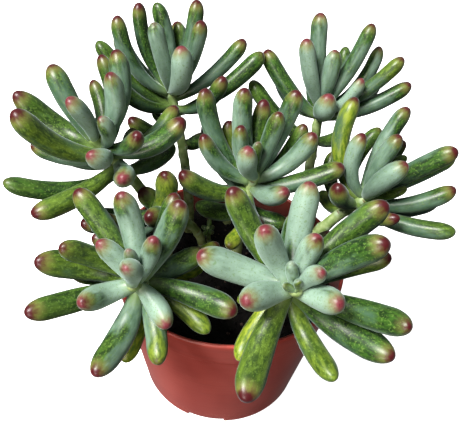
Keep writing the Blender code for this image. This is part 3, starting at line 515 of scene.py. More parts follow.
def bend_clear(plant):
    """Swing the leaves about their feet until none crosses another, keeping their lengths."""
    centres, radii, s = plant.chains()
    count = s.shape[1]
    leaf = np.repeat(np.arange(len(plant.width)), count)
    stem = np.repeat(plant.stem, count)
    s, radii = s.reshape(-1), radii.reshape(-1)
    points = centres.reshape(-1, 3)
    first, second = np.nonzero(np.triu(leaf[:, None] != leaf[None], 1))
    same = stem[first] == stem[second]
    close = np.linalg.norm(points[first] - points[second], axis=1) < NEIGHBOUR_REACH
    keep = close & (~same | ((s[first] > 0.42) & (s[second] > 0.42)))
    pairs = first[keep], second[keep]
    gaps = np.where(same[keep], 0.15 * MM, CLEARANCE)
    stem_points = np.concatenate([path[::4] for path, _ in plant.paths])
    per_stem = len(plant.paths[0][0][::4])
    stem_number = np.repeat(np.arange(len(plant.stems)), per_stem)
    stem_radii = np.array([row.radius_mm * MM for row in plant.stems])[stem_number]
    near = np.linalg.norm(points[:, None] - stem_points[None], axis=2) < NEIGHBOUR_REACH
    stem_pairs = np.nonzero(near & ((stem[:, None] != stem_number[None]) | (s > 0.5)[:, None]))
    length = plant.lengths()
    home = plant.tip.copy()
    share = s / (s * s).mean() / count
    for step in range(BEND_STEPS):
        points = plant.chains()[0].reshape(-1, 3)
        push = np.zeros_like(points)
        push_apart(points, radii, pairs, gaps, push)
        push_from_stems(points, radii, stem_pairs, stem_points, stem_radii, push)
        push_from_pot(points, radii, push)
        move = np.zeros_like(plant.tip)
        np.add.at(move, leaf, push * share[:, None])
        move = np.clip(move, -2 * MM, 2 * MM)
        held = step < 0.7 * BEND_STEPS
        if held:
            along = (move * plant.sight).sum(1)[:, None] * plant.sight
            move = along + 0.35 * (move - along)
        plant.tip = plant.tip + 0.6 * move
        if held:
            off = plant.tip - home
            along = (off * plant.sight).sum(1)[:, None] * plant.sight
            plant.tip = home + along + 0.93 * (off - along)
        reach = plant.lengths()
        wanted = np.clip(reach, 0.88 * length, 1.10 * length)
        plant.tip = plant.foot + (plant.tip - plant.foot) * (wanted / reach)[:, None]


plant = Plant(STEMS)
add_seen_leaves(plant)
add_hidden_leaves(plant)
bend_clear(plant)
print("%d leaves in all" % len(plant.width))

# %% [markdown]
# ## From arrays to meshes
#
# Every new surface here is a grid: rings of points, one after the other. The first and last ring
# shrink to single points, so the surface is closed like an egg. One helper turns any number of such
# grids into one mesh, which is much faster than building them point by point.


# %% Grids that close at both ends
def closed_faces(rings, sides):
    """Faces of one grid whose first and last points are poles: triangles there, and squares between."""
    ring = 1 + np.arange((rings - 2) * sides).reshape(rings - 2, sides)
    after = np.roll(ring, -1, axis=1)
    last = 1 + (rings - 2) * sides
    squares = np.stack([ring[:-1], after[:-1], after[1:], ring[1:]], -1).reshape(-1, 4)
    start = np.stack([np.zeros(sides, int), after[0], ring[0]], -1)
    end = np.stack([np.full(sides, last), ring[-1], after[-1]], -1)
    return squares, np.concatenate([start, end])


def flatten(grid):
    """A stack of grids (shape, ring, side, value) with each pole ring as a single point."""
    count, rings, sides, depth = grid.shape
    inside = grid[:, 1:-1].reshape(count, -1, depth)
    return np.concatenate([grid[:, :1].mean(2), inside, grid[:, -1:].mean(2)], axis=1)


def grids_to_mesh(name, grid, values=None):
    """One mesh of all closed grids, with any named point values beside their places."""
    count, rings, sides, _ = grid.shape
    points = flatten(grid)
    squares, triangles = closed_faces(rings, sides)
    start, end = points[0][triangles[:, 1]], points[0][triangles[:, 2]]
    corner = points[0][triangles[:, 0]]
    around = points[0][squares]
    volume = (np.cross(corner, start) * end).sum()
    for one, two in ((1, 2), (2, 3)):
        volume += (np.cross(around[:, 0], around[:, one]) * around[:, two]).sum()
    if volume < 0:
        squares, triangles = squares[:, ::-1], triangles[:, ::-1]
    shift = (np.arange(count) * points.shape[1])[:, None, None]
    faces = (squares[None] + shift).reshape(-1, 4).tolist()
    faces += (triangles[None] + shift).reshape(-1, 3).tolist()
    mesh = bpy.data.meshes.new(name)
    mesh.from_pydata(points.reshape(-1, 3).tolist(), [], faces)
    for label, value in (values or {}).items():
        flat = flatten(np.broadcast_to(value, grid.shape[:3] + (4,)))
        layer = mesh.attributes.new(label, "FLOAT_COLOR", "POINT")
        layer.data.foreach_set("color", flat.reshape(-1).astype(np.float32))
    mesh.shade_smooth()
    return mesh


def add_piece(name, mesh, finish, node):
    """Show a mesh in a node's place, riding on the one body, with its material."""
    piece = bpy.data.objects.new(name, mesh)
    bpy.context.scene.collection.objects.link(piece)
    mesh.materials.append(finish)
    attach(piece, "root")
    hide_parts(node)
    return piece


# %% [markdown]
# ## Colours and shader nodes
#
# Colours are written as the hex values that a paint program shows. Blender's shaders work with
# linear light, so one function converts them. Another adds a shader node and links it, so that a
# material reads as a list of steps.


# %% Helpers for materials
def linear(hex_colour):
    """A linear colour with alpha, from sRGB hex: a straight foot, then a power of 2.4."""
    channels = [int(hex_colour[k:k + 2], 16) / 255 for k in (1, 3, 5)]
    return (*[c / 12.92 if c <= 0.04045 else ((c + 0.055) / 1.055) ** 2.4 for c in channels], 1.0)


def connect(socket, value):
    """Give an input its value, or link it to an output, or to a node's first live output."""
    if isinstance(value, bpy.types.Node):
        value = next(output for output in value.outputs if output.enabled)
    if isinstance(value, bpy.types.NodeSocket):
        socket.id_data.links.new(value, socket)
    else:
        socket.default_value = value


def add(tree, kind, *values, **settings):
    """Add a node. Values fill its live inputs in order. A capital setting names an input instead."""
    made = tree.nodes.new("ShaderNode" + kind)
    for name, value in settings.items():
        if name[0].islower():
            setattr(made, name, value)
    live = [socket for socket in made.inputs if socket.enabled]
    named = [(made.inputs[name], value) for name, value in settings.items() if name[0].isupper()]
    for socket, value in [*zip(live, values), *named]:
        connect(socket, value)
    return made


def new_finish(name):
    """An empty material with its Principled shader."""
    finish = bpy.data.materials.new(name)
    finish.use_nodes = True
    return finish, finish.node_tree, finish.node_tree.nodes["Principled BSDF"]


# %% [markdown]
# ## The skin of a leaf
#
# A leaf's skin is glossy green. Over it lies the bloom, a powder of wax that scatters light, so a
# powdery leaf looks pale, blue and dull. The bloom rubs off in patches and specks, and first at the
# tip. The red is a pigment in the skin of the tip, under the bloom, so it looks pink through powder
# and deep where the skin is bare. Its edge is ragged, and past it the skin fades through olive. The
# pattern is drawn in millimetres along each leaf, with the leaf laid out straight, so that streaks
# run with it.

# %% Waxy leaf skin
PATCH_PER_MM = 0.16
STREAK_PER_MM = 0.8
SPECK_PER_MM = 1.5
PORE_PER_MM = 3.0
RED_CAP_MM = 3.6, 2.2


def leaf_skin():
    """Bare green skin, a powder of wax over it that is thin on top, and a red cap that fades to olive."""
    finish, tree, shader = new_finish("waxy_leaf_skin")
    look = add(tree, "Attribute", attribute_name="leaf_look")
    along, upper, from_tip = add(tree, "SeparateColor", look).outputs
    bloom, age, red = add(tree, "SeparateColor", add(tree, "Attribute", attribute_name="leaf_skin")).outputs
    place = add(tree, "Attribute", attribute_name="leaf_mm").outputs["Vector"]
    drawn = add(tree, "Mapping", place, Scale=(1.0, 1.0, 0.4))
    patches = add(tree, "TexNoise", drawn, Scale=PATCH_PER_MM, Detail=3.0, Roughness=0.55)
    streaks = add(tree, "TexNoise", drawn, Scale=STREAK_PER_MM, Detail=3.0, Roughness=0.6)
    specks = add(tree, "TexNoise", place, Scale=SPECK_PER_MM, Detail=1.0)
    rise = {"interpolation_type": "SMOOTHSTEP"}

    mottle = add(tree, "MapRange", streaks, 0.36, 0.66, **rise)
    green = add(tree, "Mix", mottle, linear("#12280A"), linear("#35581A"), data_type="RGBA")
    lighter = add(tree, "MapRange", patches, 0.48, 0.72, 0.0, 0.55, **rise)
    green = add(tree, "Mix", lighter, green, linear("#567428"), data_type="RGBA")
    flecks = add(tree, "MapRange", specks, 0.56, 0.66, 0.0, 0.45, **rise)
    green = add(tree, "Mix", flecks, green, linear("#6F8F42"), data_type="RGBA")
    old = add(tree, "Mix", mottle, linear("#4F6A14"), linear("#8F9C2A"), data_type="RGBA")
    aged = add(tree, "MapRange", age, 0.25, 1.0)
    flesh = add(tree, "Mix", aged, green, old, data_type="RGBA")

    cover = add(tree, "Math", bloom, 2.2, -2.3, operation="MULTIPLY_ADD")
    cover = add(tree, "Math", patches, 3.4, cover, operation="MULTIPLY_ADD")
    cover = add(tree, "Math", streaks, 0.5, cover, operation="MULTIPLY_ADD")
    bare_side = add(tree, "MapRange", upper, 0.35, 0.95, 0.0, 1.0, **rise)
    cover = add(tree, "Math", bare_side, -0.5, cover, operation="MULTIPLY_ADD")
    rubbed = add(tree, "MapRange", from_tip, 2.0, 14.0, 1.0, 0.0, **rise)
    worn = add(tree, "Math", bloom, -0.9, 1.4, operation="MULTIPLY_ADD")
    rubbed = add(tree, "Math", rubbed, worn, operation="MULTIPLY")
    cover = add(tree, "Math", cover, rubbed, operation="SUBTRACT")
    powder = add(tree, "MapRange", cover, 0.1, 0.85, 0.03, 0.94, **rise)
    pitted = add(tree, "MapRange", specks, 0.60, 0.68, 1.0, 0.5, **rise)
    powder = add(tree, "Math", powder, pitted, operation="MULTIPLY")
    thick = add(tree, "Math", streaks, 0.45, -2.0, operation="MULTIPLY_ADD")
    thick = add(tree, "Math", patches, 1.0, thick, operation="MULTIPLY_ADD")
    thick = add(tree, "Math", bloom, 1.6, thick, operation="MULTIPLY_ADD")
    thick = add(tree, "Math", bare_side, -0.2, thick, operation="MULTIPLY_ADD")
    thick = add(tree, "MapRange", thick, -0.6, 0.4, 0.0, 1.0, **rise)
    wax = add(tree, "Mix", thick, linear("#38553F"), linear("#8CA696"), data_type="RGBA")
    skin = add(tree, "Mix", powder, flesh, wax, data_type="RGBA")
    foot = add(tree, "MapRange", along, 0.05, 0.28, 0.6, 0.0, **rise)
    skin = add(tree, "Mix", foot, skin, linear("#6E8548"), data_type="RGBA")

    ragged = add(tree, "Math", streaks, 3.4, from_tip, operation="MULTIPLY_ADD")
    cap = add(tree, "MapRange", bloom, 0.2, 1.0, *RED_CAP_MM)
    cap = add(tree, "Math", cap, red, operation="MULTIPLY")
    past = add(tree, "Math", ragged, add(tree, "Math", cap, 1.4), operation="SUBTRACT")
    warm = add(tree, "MapRange", past, 0.8, 5.0, 0.7, 0.0, **rise)
    warm = add(tree, "Math", warm, red, operation="MULTIPLY", use_clamp=True)
    skin = add(tree, "Mix", warm, skin, linear("#74743A"), data_type="RGBA")
    tip = add(tree, "MapRange", past, -1.0, 2.4, 1.0, 0.0, **rise)
    tip = add(tree, "Math", tip, add(tree, "MapRange", red, 0.0, 0.4), operation="MULTIPLY")
    crimson = add(tree, "Mix", powder, linear("#420E12"), linear("#6E2C34"), data_type="RGBA")
    connect(shader.inputs["Base Color"], add(tree, "Mix", tip, skin, crimson, data_type="RGBA"))
    connect(shader.inputs["Roughness"], add(tree, "MapRange", powder, 0.0, 1.0, 0.36, 0.42))
    pores = add(tree, "TexNoise", place, Scale=PORE_PER_MM, Detail=1.0)
    connect(shader.inputs["Normal"], add(tree, "Bump", Strength=0.2, Distance=0.1 * MM, Height=pores))
    connect(shader.inputs["IOR"], 1.42)
    connect(shader.inputs["Sheen Weight"], 0.38)
    connect(shader.inputs["Sheen Roughness"], 0.35)
    connect(shader.inputs["Sheen Tint"], linear("#DCEFF2"))
    return finish


# %% [markdown]
# ## Leaves
#
# A leaf is a finger: round in section, a little flatter on its upper side, narrow at its foot and
# fullest near its tip. A subdivided box would do, but a formula keeps all of them true to the
# solids: at each step along the leaf's curve it puts a ring of the leaf's width there.

# %% Leaf surfaces
LEAF_RINGS = 34
LEAF_SIDES = 24
UPPER_THICKNESS = 0.84
LOWER_THICKNESS = 0.97


def leaf_grids(plant, chosen, rng):
    """Rings along each leaf's curve, closer near the tip, round with slow waves of a few hundredths."""
    count = len(chosen)
    foot, tip = plant.foot[chosen], plant.tip[chosen]
    middle, width = plant.middles()[chosen], plant.width[chosen]
    s = np.broadcast_to(1 - (1 - np.linspace(0, 1, LEAF_RINGS)) ** 1.7, (count, LEAF_RINGS))
    angle = np.linspace(0, 2 * math.pi, LEAF_SIDES, endpoint=False)
    centre = bezier(foot[:, None], middle[:, None], tip[:, None], s)
    forward = unit((1 - s)[..., None] * (middle - foot)[:, None] + s[..., None] * (tip - middle)[:, None])
    across = unit(np.cross(tip - foot, middle - foot))[:, None]
    normal = np.cross(forward, across)
    phase = rng.uniform(0, 2 * math.pi, (3, count, 1, 1))
    wave = 1 + 0.025 * np.sin(2 * angle + phase[0] + 3 * s[..., None])
    wave = wave + 0.015 * np.sin(3 * angle + phase[1]) + 0.02 * np.sin(9 * s[..., None] + phase[2])
    length = plant.lengths()[chosen, None]
    radius = leaf_half_width(s, width[:, None], length)[..., None] * wave
    upper = np.sin(angle)
    thickness = np.where(upper > 0, UPPER_THICKNESS, LOWER_THICKNESS)
    sideways = (radius * np.cos(angle))[..., None] * across[:, :, None]
    upwards = (radius * thickness * upper)[..., None] * normal[:, :, None]
    grid = centre[:, :, None] + sideways + upwards
    seed = rng.uniform(0, 1, (count, 1, 1))
    ones = np.ones_like(radius)
    run = (s * length)[..., None] * ones
    steps = np.linalg.norm(np.diff(grid[:, ::-1], axis=1), axis=-1)
    from_tip = np.pad(np.cumsum(steps, axis=1), ((0, 0), (1, 0), (0, 0)))[:, ::-1] / MM
    look = np.stack([s[..., None] * ones, (0.5 + 0.5 * upper) * ones, from_tip * ones, ones], -1)
    place = np.stack([radius * np.cos(angle) / MM + 40 * seed, radius * upper / MM + 300 * seed,
                      run / MM + 90 * seed, ones], -1)
    skin = np.concatenate([plant.skin[chosen], np.ones((count, 1))], 1)[:, None, None]
    return grid, {"leaf_look": look, "leaf_mm": place, "leaf_skin": skin}


# %% Grow the leaves of every stem
waxy_leaf_skin = leaf_skin()
rng = np.random.default_rng(7)
for number, stem in enumerate(STEMS):
    chosen = np.flatnonzero(plant.stem == number)
    grid, values = leaf_grids(plant, chosen, rng)
    mesh = grids_to_mesh(stem.name + "_leaves", grid, values)
    add_piece(stem.name + "_leaves", mesh, waxy_leaf_skin, stem.name)
print("Each leaf has %d faces" % ((LEAF_RINGS - 1) * LEAF_SIDES))

# %% [markdown]
# ## Stalks
#
# A stalk is as fleshy as its leaves, pale lime, and marked where old leaves dropped: each left a low
# cushion with a brown crescent at its upper edge. The cushions stand round the stalk by the same
# golden angle as the leaves. They are raised from the tube's surface by a formula.

# %% Stalk surfaces
STALK_SIDES = 28
STALK_STEP = 0.6 * MM
SCAR_STEP = 3.4 * MM
SCAR_HEIGHT = 0.42 * MM
SCAR_LENGTH = 1.3 * MM
SCAR_WIDTH = 1.9 * MM
CLOUD_PER_MM = 0.26
GRAIN_PER_MM = 1.5


def stalk_grid(stem, path, run, rng):
    """A tube along the stem's path, with a rounded top, raised by a soft bump at each leaf scar."""
    root = path[0] - np.array([0, 0, STEM_DEPTH - GAP])
    total = run[-1] + STEM_DEPTH
    where = np.concatenate([[0.0], np.linspace(0, total, int(total / STALK_STEP)), [total]])
    line = np.vstack([root, path])
    travelled = np.concatenate([[0.0], run + np.linalg.norm(path[0] - root)])
    centre = np.stack([np.interp(where, travelled, line[:, k]) for k in range(3)], -1)
    ahead = np.stack([np.interp(where + 2 * MM, travelled, line[:, k]) for k in range(3)], -1)
    behind = np.stack([np.interp(where - 2 * MM, travelled, line[:, k]) for k in range(3)], -1)
    forward = unit(ahead - behind)
    side = unit(np.cross(forward, [0.3, 0.9, 0.1]))
    other = np.cross(forward, side)
    angle = np.linspace(0, 2 * math.pi, STALK_SIDES, endpoint=False)
    thick = stem.radius_mm * MM
    taper = 1 - (1 - STEM_TAPER) * np.clip(where - STEM_DEPTH, 0, None) / run[-1]
    to_top = total - where
    round_top = np.sqrt(np.clip(1 - (1 - np.clip(to_top / thick, 0, 1)) ** 2, 0, 1))
    radius = (thick * taper * round_top)[:, None] * np.ones(STALK_SIDES)
    scar = np.zeros_like(radius)
    crescent = np.zeros_like(radius)
    for turn in range(int(total / SCAR_STEP)):
        height = turn * SCAR_STEP + rng.uniform(-0.5, 0.5) * MM
        facing = turn * GOLDEN_ANGLE
        turned = (angle - facing + math.pi) % (2 * math.pi) - math.pi
        sideways = turned * thick / SCAR_WIDTH
        lengthways = ((where - height) / SCAR_LENGTH)[:, None]
        scar += np.exp(-sideways ** 2 - lengthways ** 2)
        crescent += np.exp(-(sideways / 0.8) ** 2 - ((lengthways - 0.75 + 0.4 * sideways ** 2) / 0.28) ** 2)
    radius = radius + SCAR_HEIGHT * scar * round_top[:, None]
    radius[0] = 0
    radius[-1] = 0
    grid = centre[:, None] + radius[..., None] * (np.cos(angle)[:, None] * side[:, None]
                                                  + np.sin(angle)[:, None] * other[:, None])
    ones = np.ones_like(radius)
    height = (np.clip(where - STEM_DEPTH, 0, None) / run[-1])[:, None] * ones
    return grid[None], np.stack([height, np.clip(crescent, 0, 1), np.clip(scar, 0, 1), ones], -1)[None]


def stalk_skin():
    """Smooth green stalk, paler and yellower than the leaves, with brown crescents at the leaf scars."""
    finish, tree, shader = new_finish("fleshy_stalk_skin")
    marks = add(tree, "Attribute", attribute_name="stalk_look")
    height, crescent, scar = add(tree, "SeparateColor", marks).outputs
    place = add(tree, "TexCoord").outputs["Object"]
    clouds = add(tree, "TexNoise", place, Scale=CLOUD_PER_MM / MM, Detail=4.0)
    grain = add(tree, "TexNoise", place, Scale=GRAIN_PER_MM / MM, Detail=2.0)
    rise = {"interpolation_type": "SMOOTHSTEP"}
    pale = add(tree, "MapRange", clouds, 0.35, 0.65, **rise)
    green = add(tree, "Mix", pale, linear("#6E8548"), linear("#9DAE78"), data_type="RGBA")
    woody = add(tree, "MapRange", height, 0.0, 0.55, 0.5, 0.0, **rise)
    green = add(tree, "Mix", woody, green, linear("#6A6A3C"), data_type="RGBA")
    powder = add(tree, "MapRange", scar, 0.2, 0.9, 0.0, 0.4, **rise)
    green = add(tree, "Mix", powder, green, linear("#A9C0A4"), data_type="RGBA")
    mark = add(tree, "Math", add(tree, "MapRange", crescent, 0.35, 0.8, **rise),
               add(tree, "MapRange", grain, 0.3, 0.6, 0.6, 1.0, **rise), operation="MULTIPLY")
    connect(shader.inputs["Base Color"], add(tree, "Mix", mark, green, linear("#6B4A2A"), data_type="RGBA"))
    connect(shader.inputs["Normal"], add(tree, "Bump", Strength=0.3, Distance=0.2 * MM, Height=grain))
    connect(shader.inputs["Roughness"], 0.48)
    return finish


# %% Grow the stalks
fleshy_stalk_skin = stalk_skin()
for stem, (path, run) in zip(STEMS, plant.paths):
    grid, marks = stalk_grid(stem, path, run, rng)
    mesh = grids_to_mesh(stem.name + "_stalk", grid, {"stalk_look": marks})
    add_piece(stem.name + "_stalk", mesh, fleshy_stalk_skin, stem.name)
    print("%s runs %.0f mm above the soil" % (stem.name, run[-1] / MM))

# %% [markdown]
# ## The pot
#
# The pot is a thin-walled nursery pot, moulded in brick-red polypropylene: a flared wall, a taller
# band under the rim, a foot ring with shallow notches that let water out, and drain holes. It is
# one outline turned about the upright axis. The notches are made by lifting the ring's underside
# there, and the drain holes by a Boolean cut. Above the soil its inside is painted darker, most
# near the soil: painted shade.

# %% The pot's outline
COLLAR_HEIGHT = 14.0 * MM
FLOOR_TOP = 3.4 * MM
FOOT_RING_WIDTH = 3.0 * MM
FOOT_RECESS = 1.6 * MM
PAD_RADIUS = 12.0 * MM
NOTCHES = 4
NOTCH_WIDTH = 17.5 * MM
NOTCH_HEIGHT = 2.4 * MM
NOTCH_TURN = math.radians(-97.0)
DRAIN_HOLES = 6
DRAIN_RADIUS = 4.2 * MM
DRAIN_CIRCLE = 23.0 * MM
RIM_TURN = 6


def arc(centre, radius, start, end, count):
    """Points of an arc in the (radius, height) plane, by its start and end angles in degrees."""
    angles = np.radians(np.linspace(start, end, count))
    return [(centre[0] + radius * math.cos(a), centre[1] + radius * math.sin(a)) for a in angles]


def wall_radius(height):
    """The outer radius of the pot's wall below the collar."""
    return BASE_RADIUS + (RIM_RADIUS - COLLAR_STEP * 1.4 - BASE_RADIUS) * height / POT_HEIGHT


def straight(start, end, count):
    """Points along a straight stretch, without its two ends."""
    return [tuple(between((np.array(start), np.array(end)), k / (count + 1))) for k in range(1, count + 1)]


def pot_outline():
    """The pot's section from the pad's middle out under the foot, up the outer side and down the inner."""
    collar_foot = POT_HEIGHT - COLLAR_HEIGHT
    collar_radius = wall_radius(collar_foot) + COLLAR_STEP
    rim_centre = (RIM_RADIUS - WALL / 2, POT_HEIGHT - WALL / 2)
    ring_inner = BASE_RADIUS - FOOT_RING_WIDTH
    under = [(0.0, 0.0), (PAD_RADIUS, 0.0), (PAD_RADIUS + 1.0 * MM, FOOT_RECESS)]
    under += straight(under[-1], (ring_inner - 0.8 * MM, FOOT_RECESS), 4)
    under += [(ring_inner - 0.8 * MM, FOOT_RECESS), (ring_inner, 0.0)]
    foot = arc((BASE_RADIUS - 1.2 * MM, 1.2 * MM), 1.2 * MM, -90, 0, 8)
    wall_top = (wall_radius(collar_foot), collar_foot - COLLAR_STEP)
    wall = straight(foot[-1], wall_top, 14) + [wall_top]
    step = arc((collar_radius - 0.7 * MM, collar_foot + 0.5 * MM), 0.7 * MM, -75, 0, 6)
    rim = arc(rim_centre, WALL / 2, 0, 180, 14)
    collar = straight(step[-1], rim[0], 5)
    inner_step = (collar_radius - WALL, collar_foot + WALL)
    inner_foot = (wall_radius(collar_foot) - WALL, collar_foot)
    corner = arc((wall_radius(FLOOR_TOP) - WALL - 1.5 * MM, FLOOR_TOP + 1.5 * MM), 1.5 * MM, 0, -90, 6)
    inner = straight(rim[-1], inner_step, 3) + [inner_step, inner_foot] + straight(inner_foot, corner[0], 6)
    floor = corner + straight(corner[-1], (0.0, FLOOR_TOP), 5) + [(0.0, FLOOR_TOP)]
    return np.array(under + foot + wall + step + collar + rim + inner + floor)


def notch_lift(angles):
    """How far the foot ring's underside is lifted round the pot: the notch height within each notch."""
    spacing = 2 * math.pi / NOTCHES
    off = (angles - NOTCH_TURN + spacing / 2) % spacing - spacing / 2
    half = NOTCH_WIDTH / 2 / BASE_RADIUS
    return NOTCH_HEIGHT * np.clip((half - np.abs(off)) / 0.008, 0, 1)


def pot_grid():
    """The outline at each angle, with the foot ring no lower than its notches, and where it is inside."""
    outline = pot_outline()
    spacing = 2 * math.pi / NOTCHES
    half = NOTCH_WIDTH / 2 / BASE_RADIUS
    edges = [NOTCH_TURN + k * spacing + side * (half - 0.004) + off
             for k in range(NOTCHES) for side in (-1, 1) for off in (-0.004, 0.004)]
    angles = np.sort(np.concatenate([np.linspace(0, 2 * math.pi, 180, endpoint=False),
                                     np.array(edges) % (2 * math.pi)]))
    radius, height = outline[:, 0][:, None], outline[:, 1][:, None] * np.ones(len(angles))
    ring = outline[:, 0][:, None] > BASE_RADIUS - FOOT_RING_WIDTH - 1.2 * MM
    height = np.where(ring, np.maximum(height, notch_lift(angles)), height)
    grid = np.stack([radius * np.cos(angles), radius * np.sin(angles), height], -1)[None]
    past_rim = np.arange(len(outline)) > outline[:, 1].argmax() + RIM_TURN
    inside = past_rim[:, None, None] * np.ones((len(outline), len(angles), 4))
    return grid, inside[None]


# %% The pot's plastic
CLOUDING_PER_MM = 0.045
FLOW_RINGS_PER_MM = 0.42
DUST_PER_MM = 0.9


def moulded_polypropylene():
    """Injection-moulded polypropylene: satin, with a faint pebble, flow rings, dust, a few scuffs, and
    painted shade inside above the soil.
    """
    finish, tree, shader = new_finish("moulded_polypropylene")
    place = add(tree, "TexCoord").outputs["Object"]
    height = add(tree, "SeparateXYZ", place).outputs["Z"]
    clouds = add(tree, "TexNoise", place, Scale=CLOUDING_PER_MM / MM, Detail=5.0, Roughness=0.6)
    flat = add(tree, "Mapping", place, Scale=(6.0, 6.0, FLOW_RINGS_PER_MM / MM))
    flow = add(tree, "TexNoise", flat, Scale=1.0, Detail=3.0)
    dust = add(tree, "TexNoise", place, Scale=DUST_PER_MM / MM, Detail=2.0)
    rise = {"interpolation_type": "SMOOTHSTEP"}
    cloudy = add(tree, "MapRange", clouds, 0.3, 0.7, **rise)
    colour = add(tree, "Mix", cloudy, linear("#9A3A30"), linear("#A6463B"), data_type="RGBA")
    ring = add(tree, "MapRange", flow, 0.5, 0.75, 0.0, 0.25, **rise)
    colour = add(tree, "Mix", ring, colour, linear("#84322A"), data_type="RGBA")
    low = add(tree, "MapRange", height, 2 * MM, 12 * MM, 0.5, 0.0, **rise)
    scuff = add(tree, "Math", add(tree, "MapRange", dust, 0.58, 0.7, **rise), low, operation="MULTIPLY")
    colour = add(tree, "Mix", scuff, colour, linear("#C58E84"), data_type="RGBA")
    # Painted shade: above the soil the inside wall is darkened towards dark brown, most near the soil.
    inner = add(tree, "Attribute", attribute_name="pot_inside").outputs["Fac"]
    inner_painted_shade = add(tree, "MapRange", height, SOIL_LEVEL - 2 * MM, POT_HEIGHT, 0.92, 0.55)
    inner_painted_shade = add(tree, "Math", inner_painted_shade, inner, operation="MULTIPLY")
    connect(shader.inputs["Base Color"], add(tree, "Mix", inner_painted_shade, colour, linear("#2A1A14"), data_type="RGBA"))
    connect(shader.inputs["Roughness"], add(tree, "MapRange", clouds, 0.3, 0.7, 0.36, 0.46))
    pebble = add(tree, "Bump", Strength=0.15, Distance=0.1 * MM, Height=dust)
    waves = add(tree, "Bump", Strength=0.2, Distance=0.2 * MM, Height=flow, Normal=pebble)
    connect(shader.inputs["Normal"], waves)
    connect(shader.inputs["IOR"], 1.49)
    connect(shader.inputs["Sheen Weight"], 0.14)
    connect(shader.inputs["Sheen Roughness"], 0.4)
    connect(shader.inputs["Sheen Tint"], linear("#ECE6EE"))
    return finish


# %% Turn the pot and drill its drain holes
def drill(piece, cutters):
    """Cut each cutter out of a piece with a Boolean modifier, and keep the result as its mesh."""
    for cutter in cutters:
        cut = piece.modifiers.new("drill", "BOOLEAN")
        cut.operation = "DIFFERENCE"
        cut.object = cutter
    graph = bpy.context.evaluated_depsgraph_get()
    mesh = bpy.data.meshes.new_from_object(piece.evaluated_get(graph))
    piece.modifiers.clear()
    piece.data = mesh
    for cutter in cutters:
        bpy.data.objects.remove(cutter)


def drain_cutter(number):
    """A closed upright cylinder through the floor, as a grid with two poles."""
    turn = 2 * math.pi * (number + 0.5) / DRAIN_HOLES
    middle = DRAIN_CIRCLE * np.array([math.cos(turn), math.sin(turn)])
    angle = np.linspace(0, 2 * math.pi, 32, endpoint=False)
    radius = DRAIN_RADIUS * np.array([0, 1, 1, 0])[:, None]
    height = np.array([-1, -1, 6, 6])[:, None] * MM * np.ones(32)
    grid = np.stack([middle[0] + radius * np.cos(angle), middle[1] + radius * np.sin(angle), height], -1)
    cutter = bpy.data.objects.new("drain", grids_to_mesh("drain", grid[None]))
    bpy.context.scene.collection.objects.link(cutter)
    return cutter


grid, inside = pot_grid()
pot = add_piece("nursery_pot", grids_to_mesh("nursery_pot", grid, {"pot_inside": inside}),
                moulded_polypropylene(), "pot")
drill(pot, [drain_cutter(number) for number in range(DRAIN_HOLES)])
pot.data.set_sharp_from_angle(angle=math.radians(40))
print("The pot has %d faces" % len(pot.data.polygons))

# %% [markdown]
# ## The soil
#
# Potting mix for succulents is peat, bark and grit, dark when moist. From above it is lumps and
# crumbs with deep shadows between them. The filling is one turned body whose top is roughened by
# waves of several sizes, and several hundred small crumbs lie on it, half sunk.

# %% Rough ground
SOIL_RINGS = 56
SOIL_SIDES = 150


def rough(points, sizes, rng, count=14):
    """Heights from -1 to 1 over points: for each size, plane waves of about that length, summed."""
    total = np.zeros(points.shape[:-1])
    for size, share in sizes:
        turns = rng.uniform(0, 2 * math.pi, count)
        lengths = size * rng.uniform(0.7, 1.4, count)
        phases = rng.uniform(0, 2 * math.pi, count)
        for turn, length, phase in zip(turns, lengths, phases):
            across = points[..., 0] * math.cos(turn) + points[..., 1] * math.sin(turn)
            total += share * np.sin(2 * math.pi * across / length + phase) / math.sqrt(count)
    return total


def soil_edge():
    """The radius of the soil's top, just inside the collar."""
    return wall_radius(POT_HEIGHT - COLLAR_HEIGHT) - WALL - 2 * GAP


def soil_top(points, rng):
    """A low mound with lumps of about 9, 4 and 2 mm."""
    out = np.clip(np.linalg.norm(points, axis=-1) / soil_edge(), 0, 1)
    mound = SOIL_LEVEL + SOIL_MOUND * (1 - 2 * out ** 2)
    lumps = rough(points, [(9 * MM, 0.8), (4 * MM, 0.7), (2 * MM, 0.5)], rng)
    return mound + 0.55 * MM * lumps - 0.3 * MM


def soil_grid():
    """The rough top, then the sides down the pot's wall and the flat bottom."""
    angle = np.linspace(0, 2 * math.pi, SOIL_SIDES, endpoint=False)
    out = soil_edge() * np.linspace(0, 1, SOIL_RINGS)[:, None]
    flat = np.stack([out * np.cos(angle), out * np.sin(angle)], -1)
    top = np.concatenate([flat, soil_top(flat, np.random.default_rng(11))[..., None]], -1)
    bottom = FLOOR_TOP + GAP
    lower = [(soil_edge(), POT_HEIGHT - COLLAR_HEIGHT - 2 * MM),
             (wall_radius(bottom) - WALL - 2 * GAP - 1.5 * MM, bottom), (0.0, bottom)]
    rings = [np.stack([r * np.cos(angle), r * np.sin(angle), np.full(SOIL_SIDES, z)], -1) for r, z in lower]
    return np.concatenate([top, np.stack(rings)])[None]


# %% Crumbs on the soil
CRUMBS = 620
CRUMB_SIZE = 0.5 * MM, 1.5 * MM
CLODS_PER_MM = 0.42


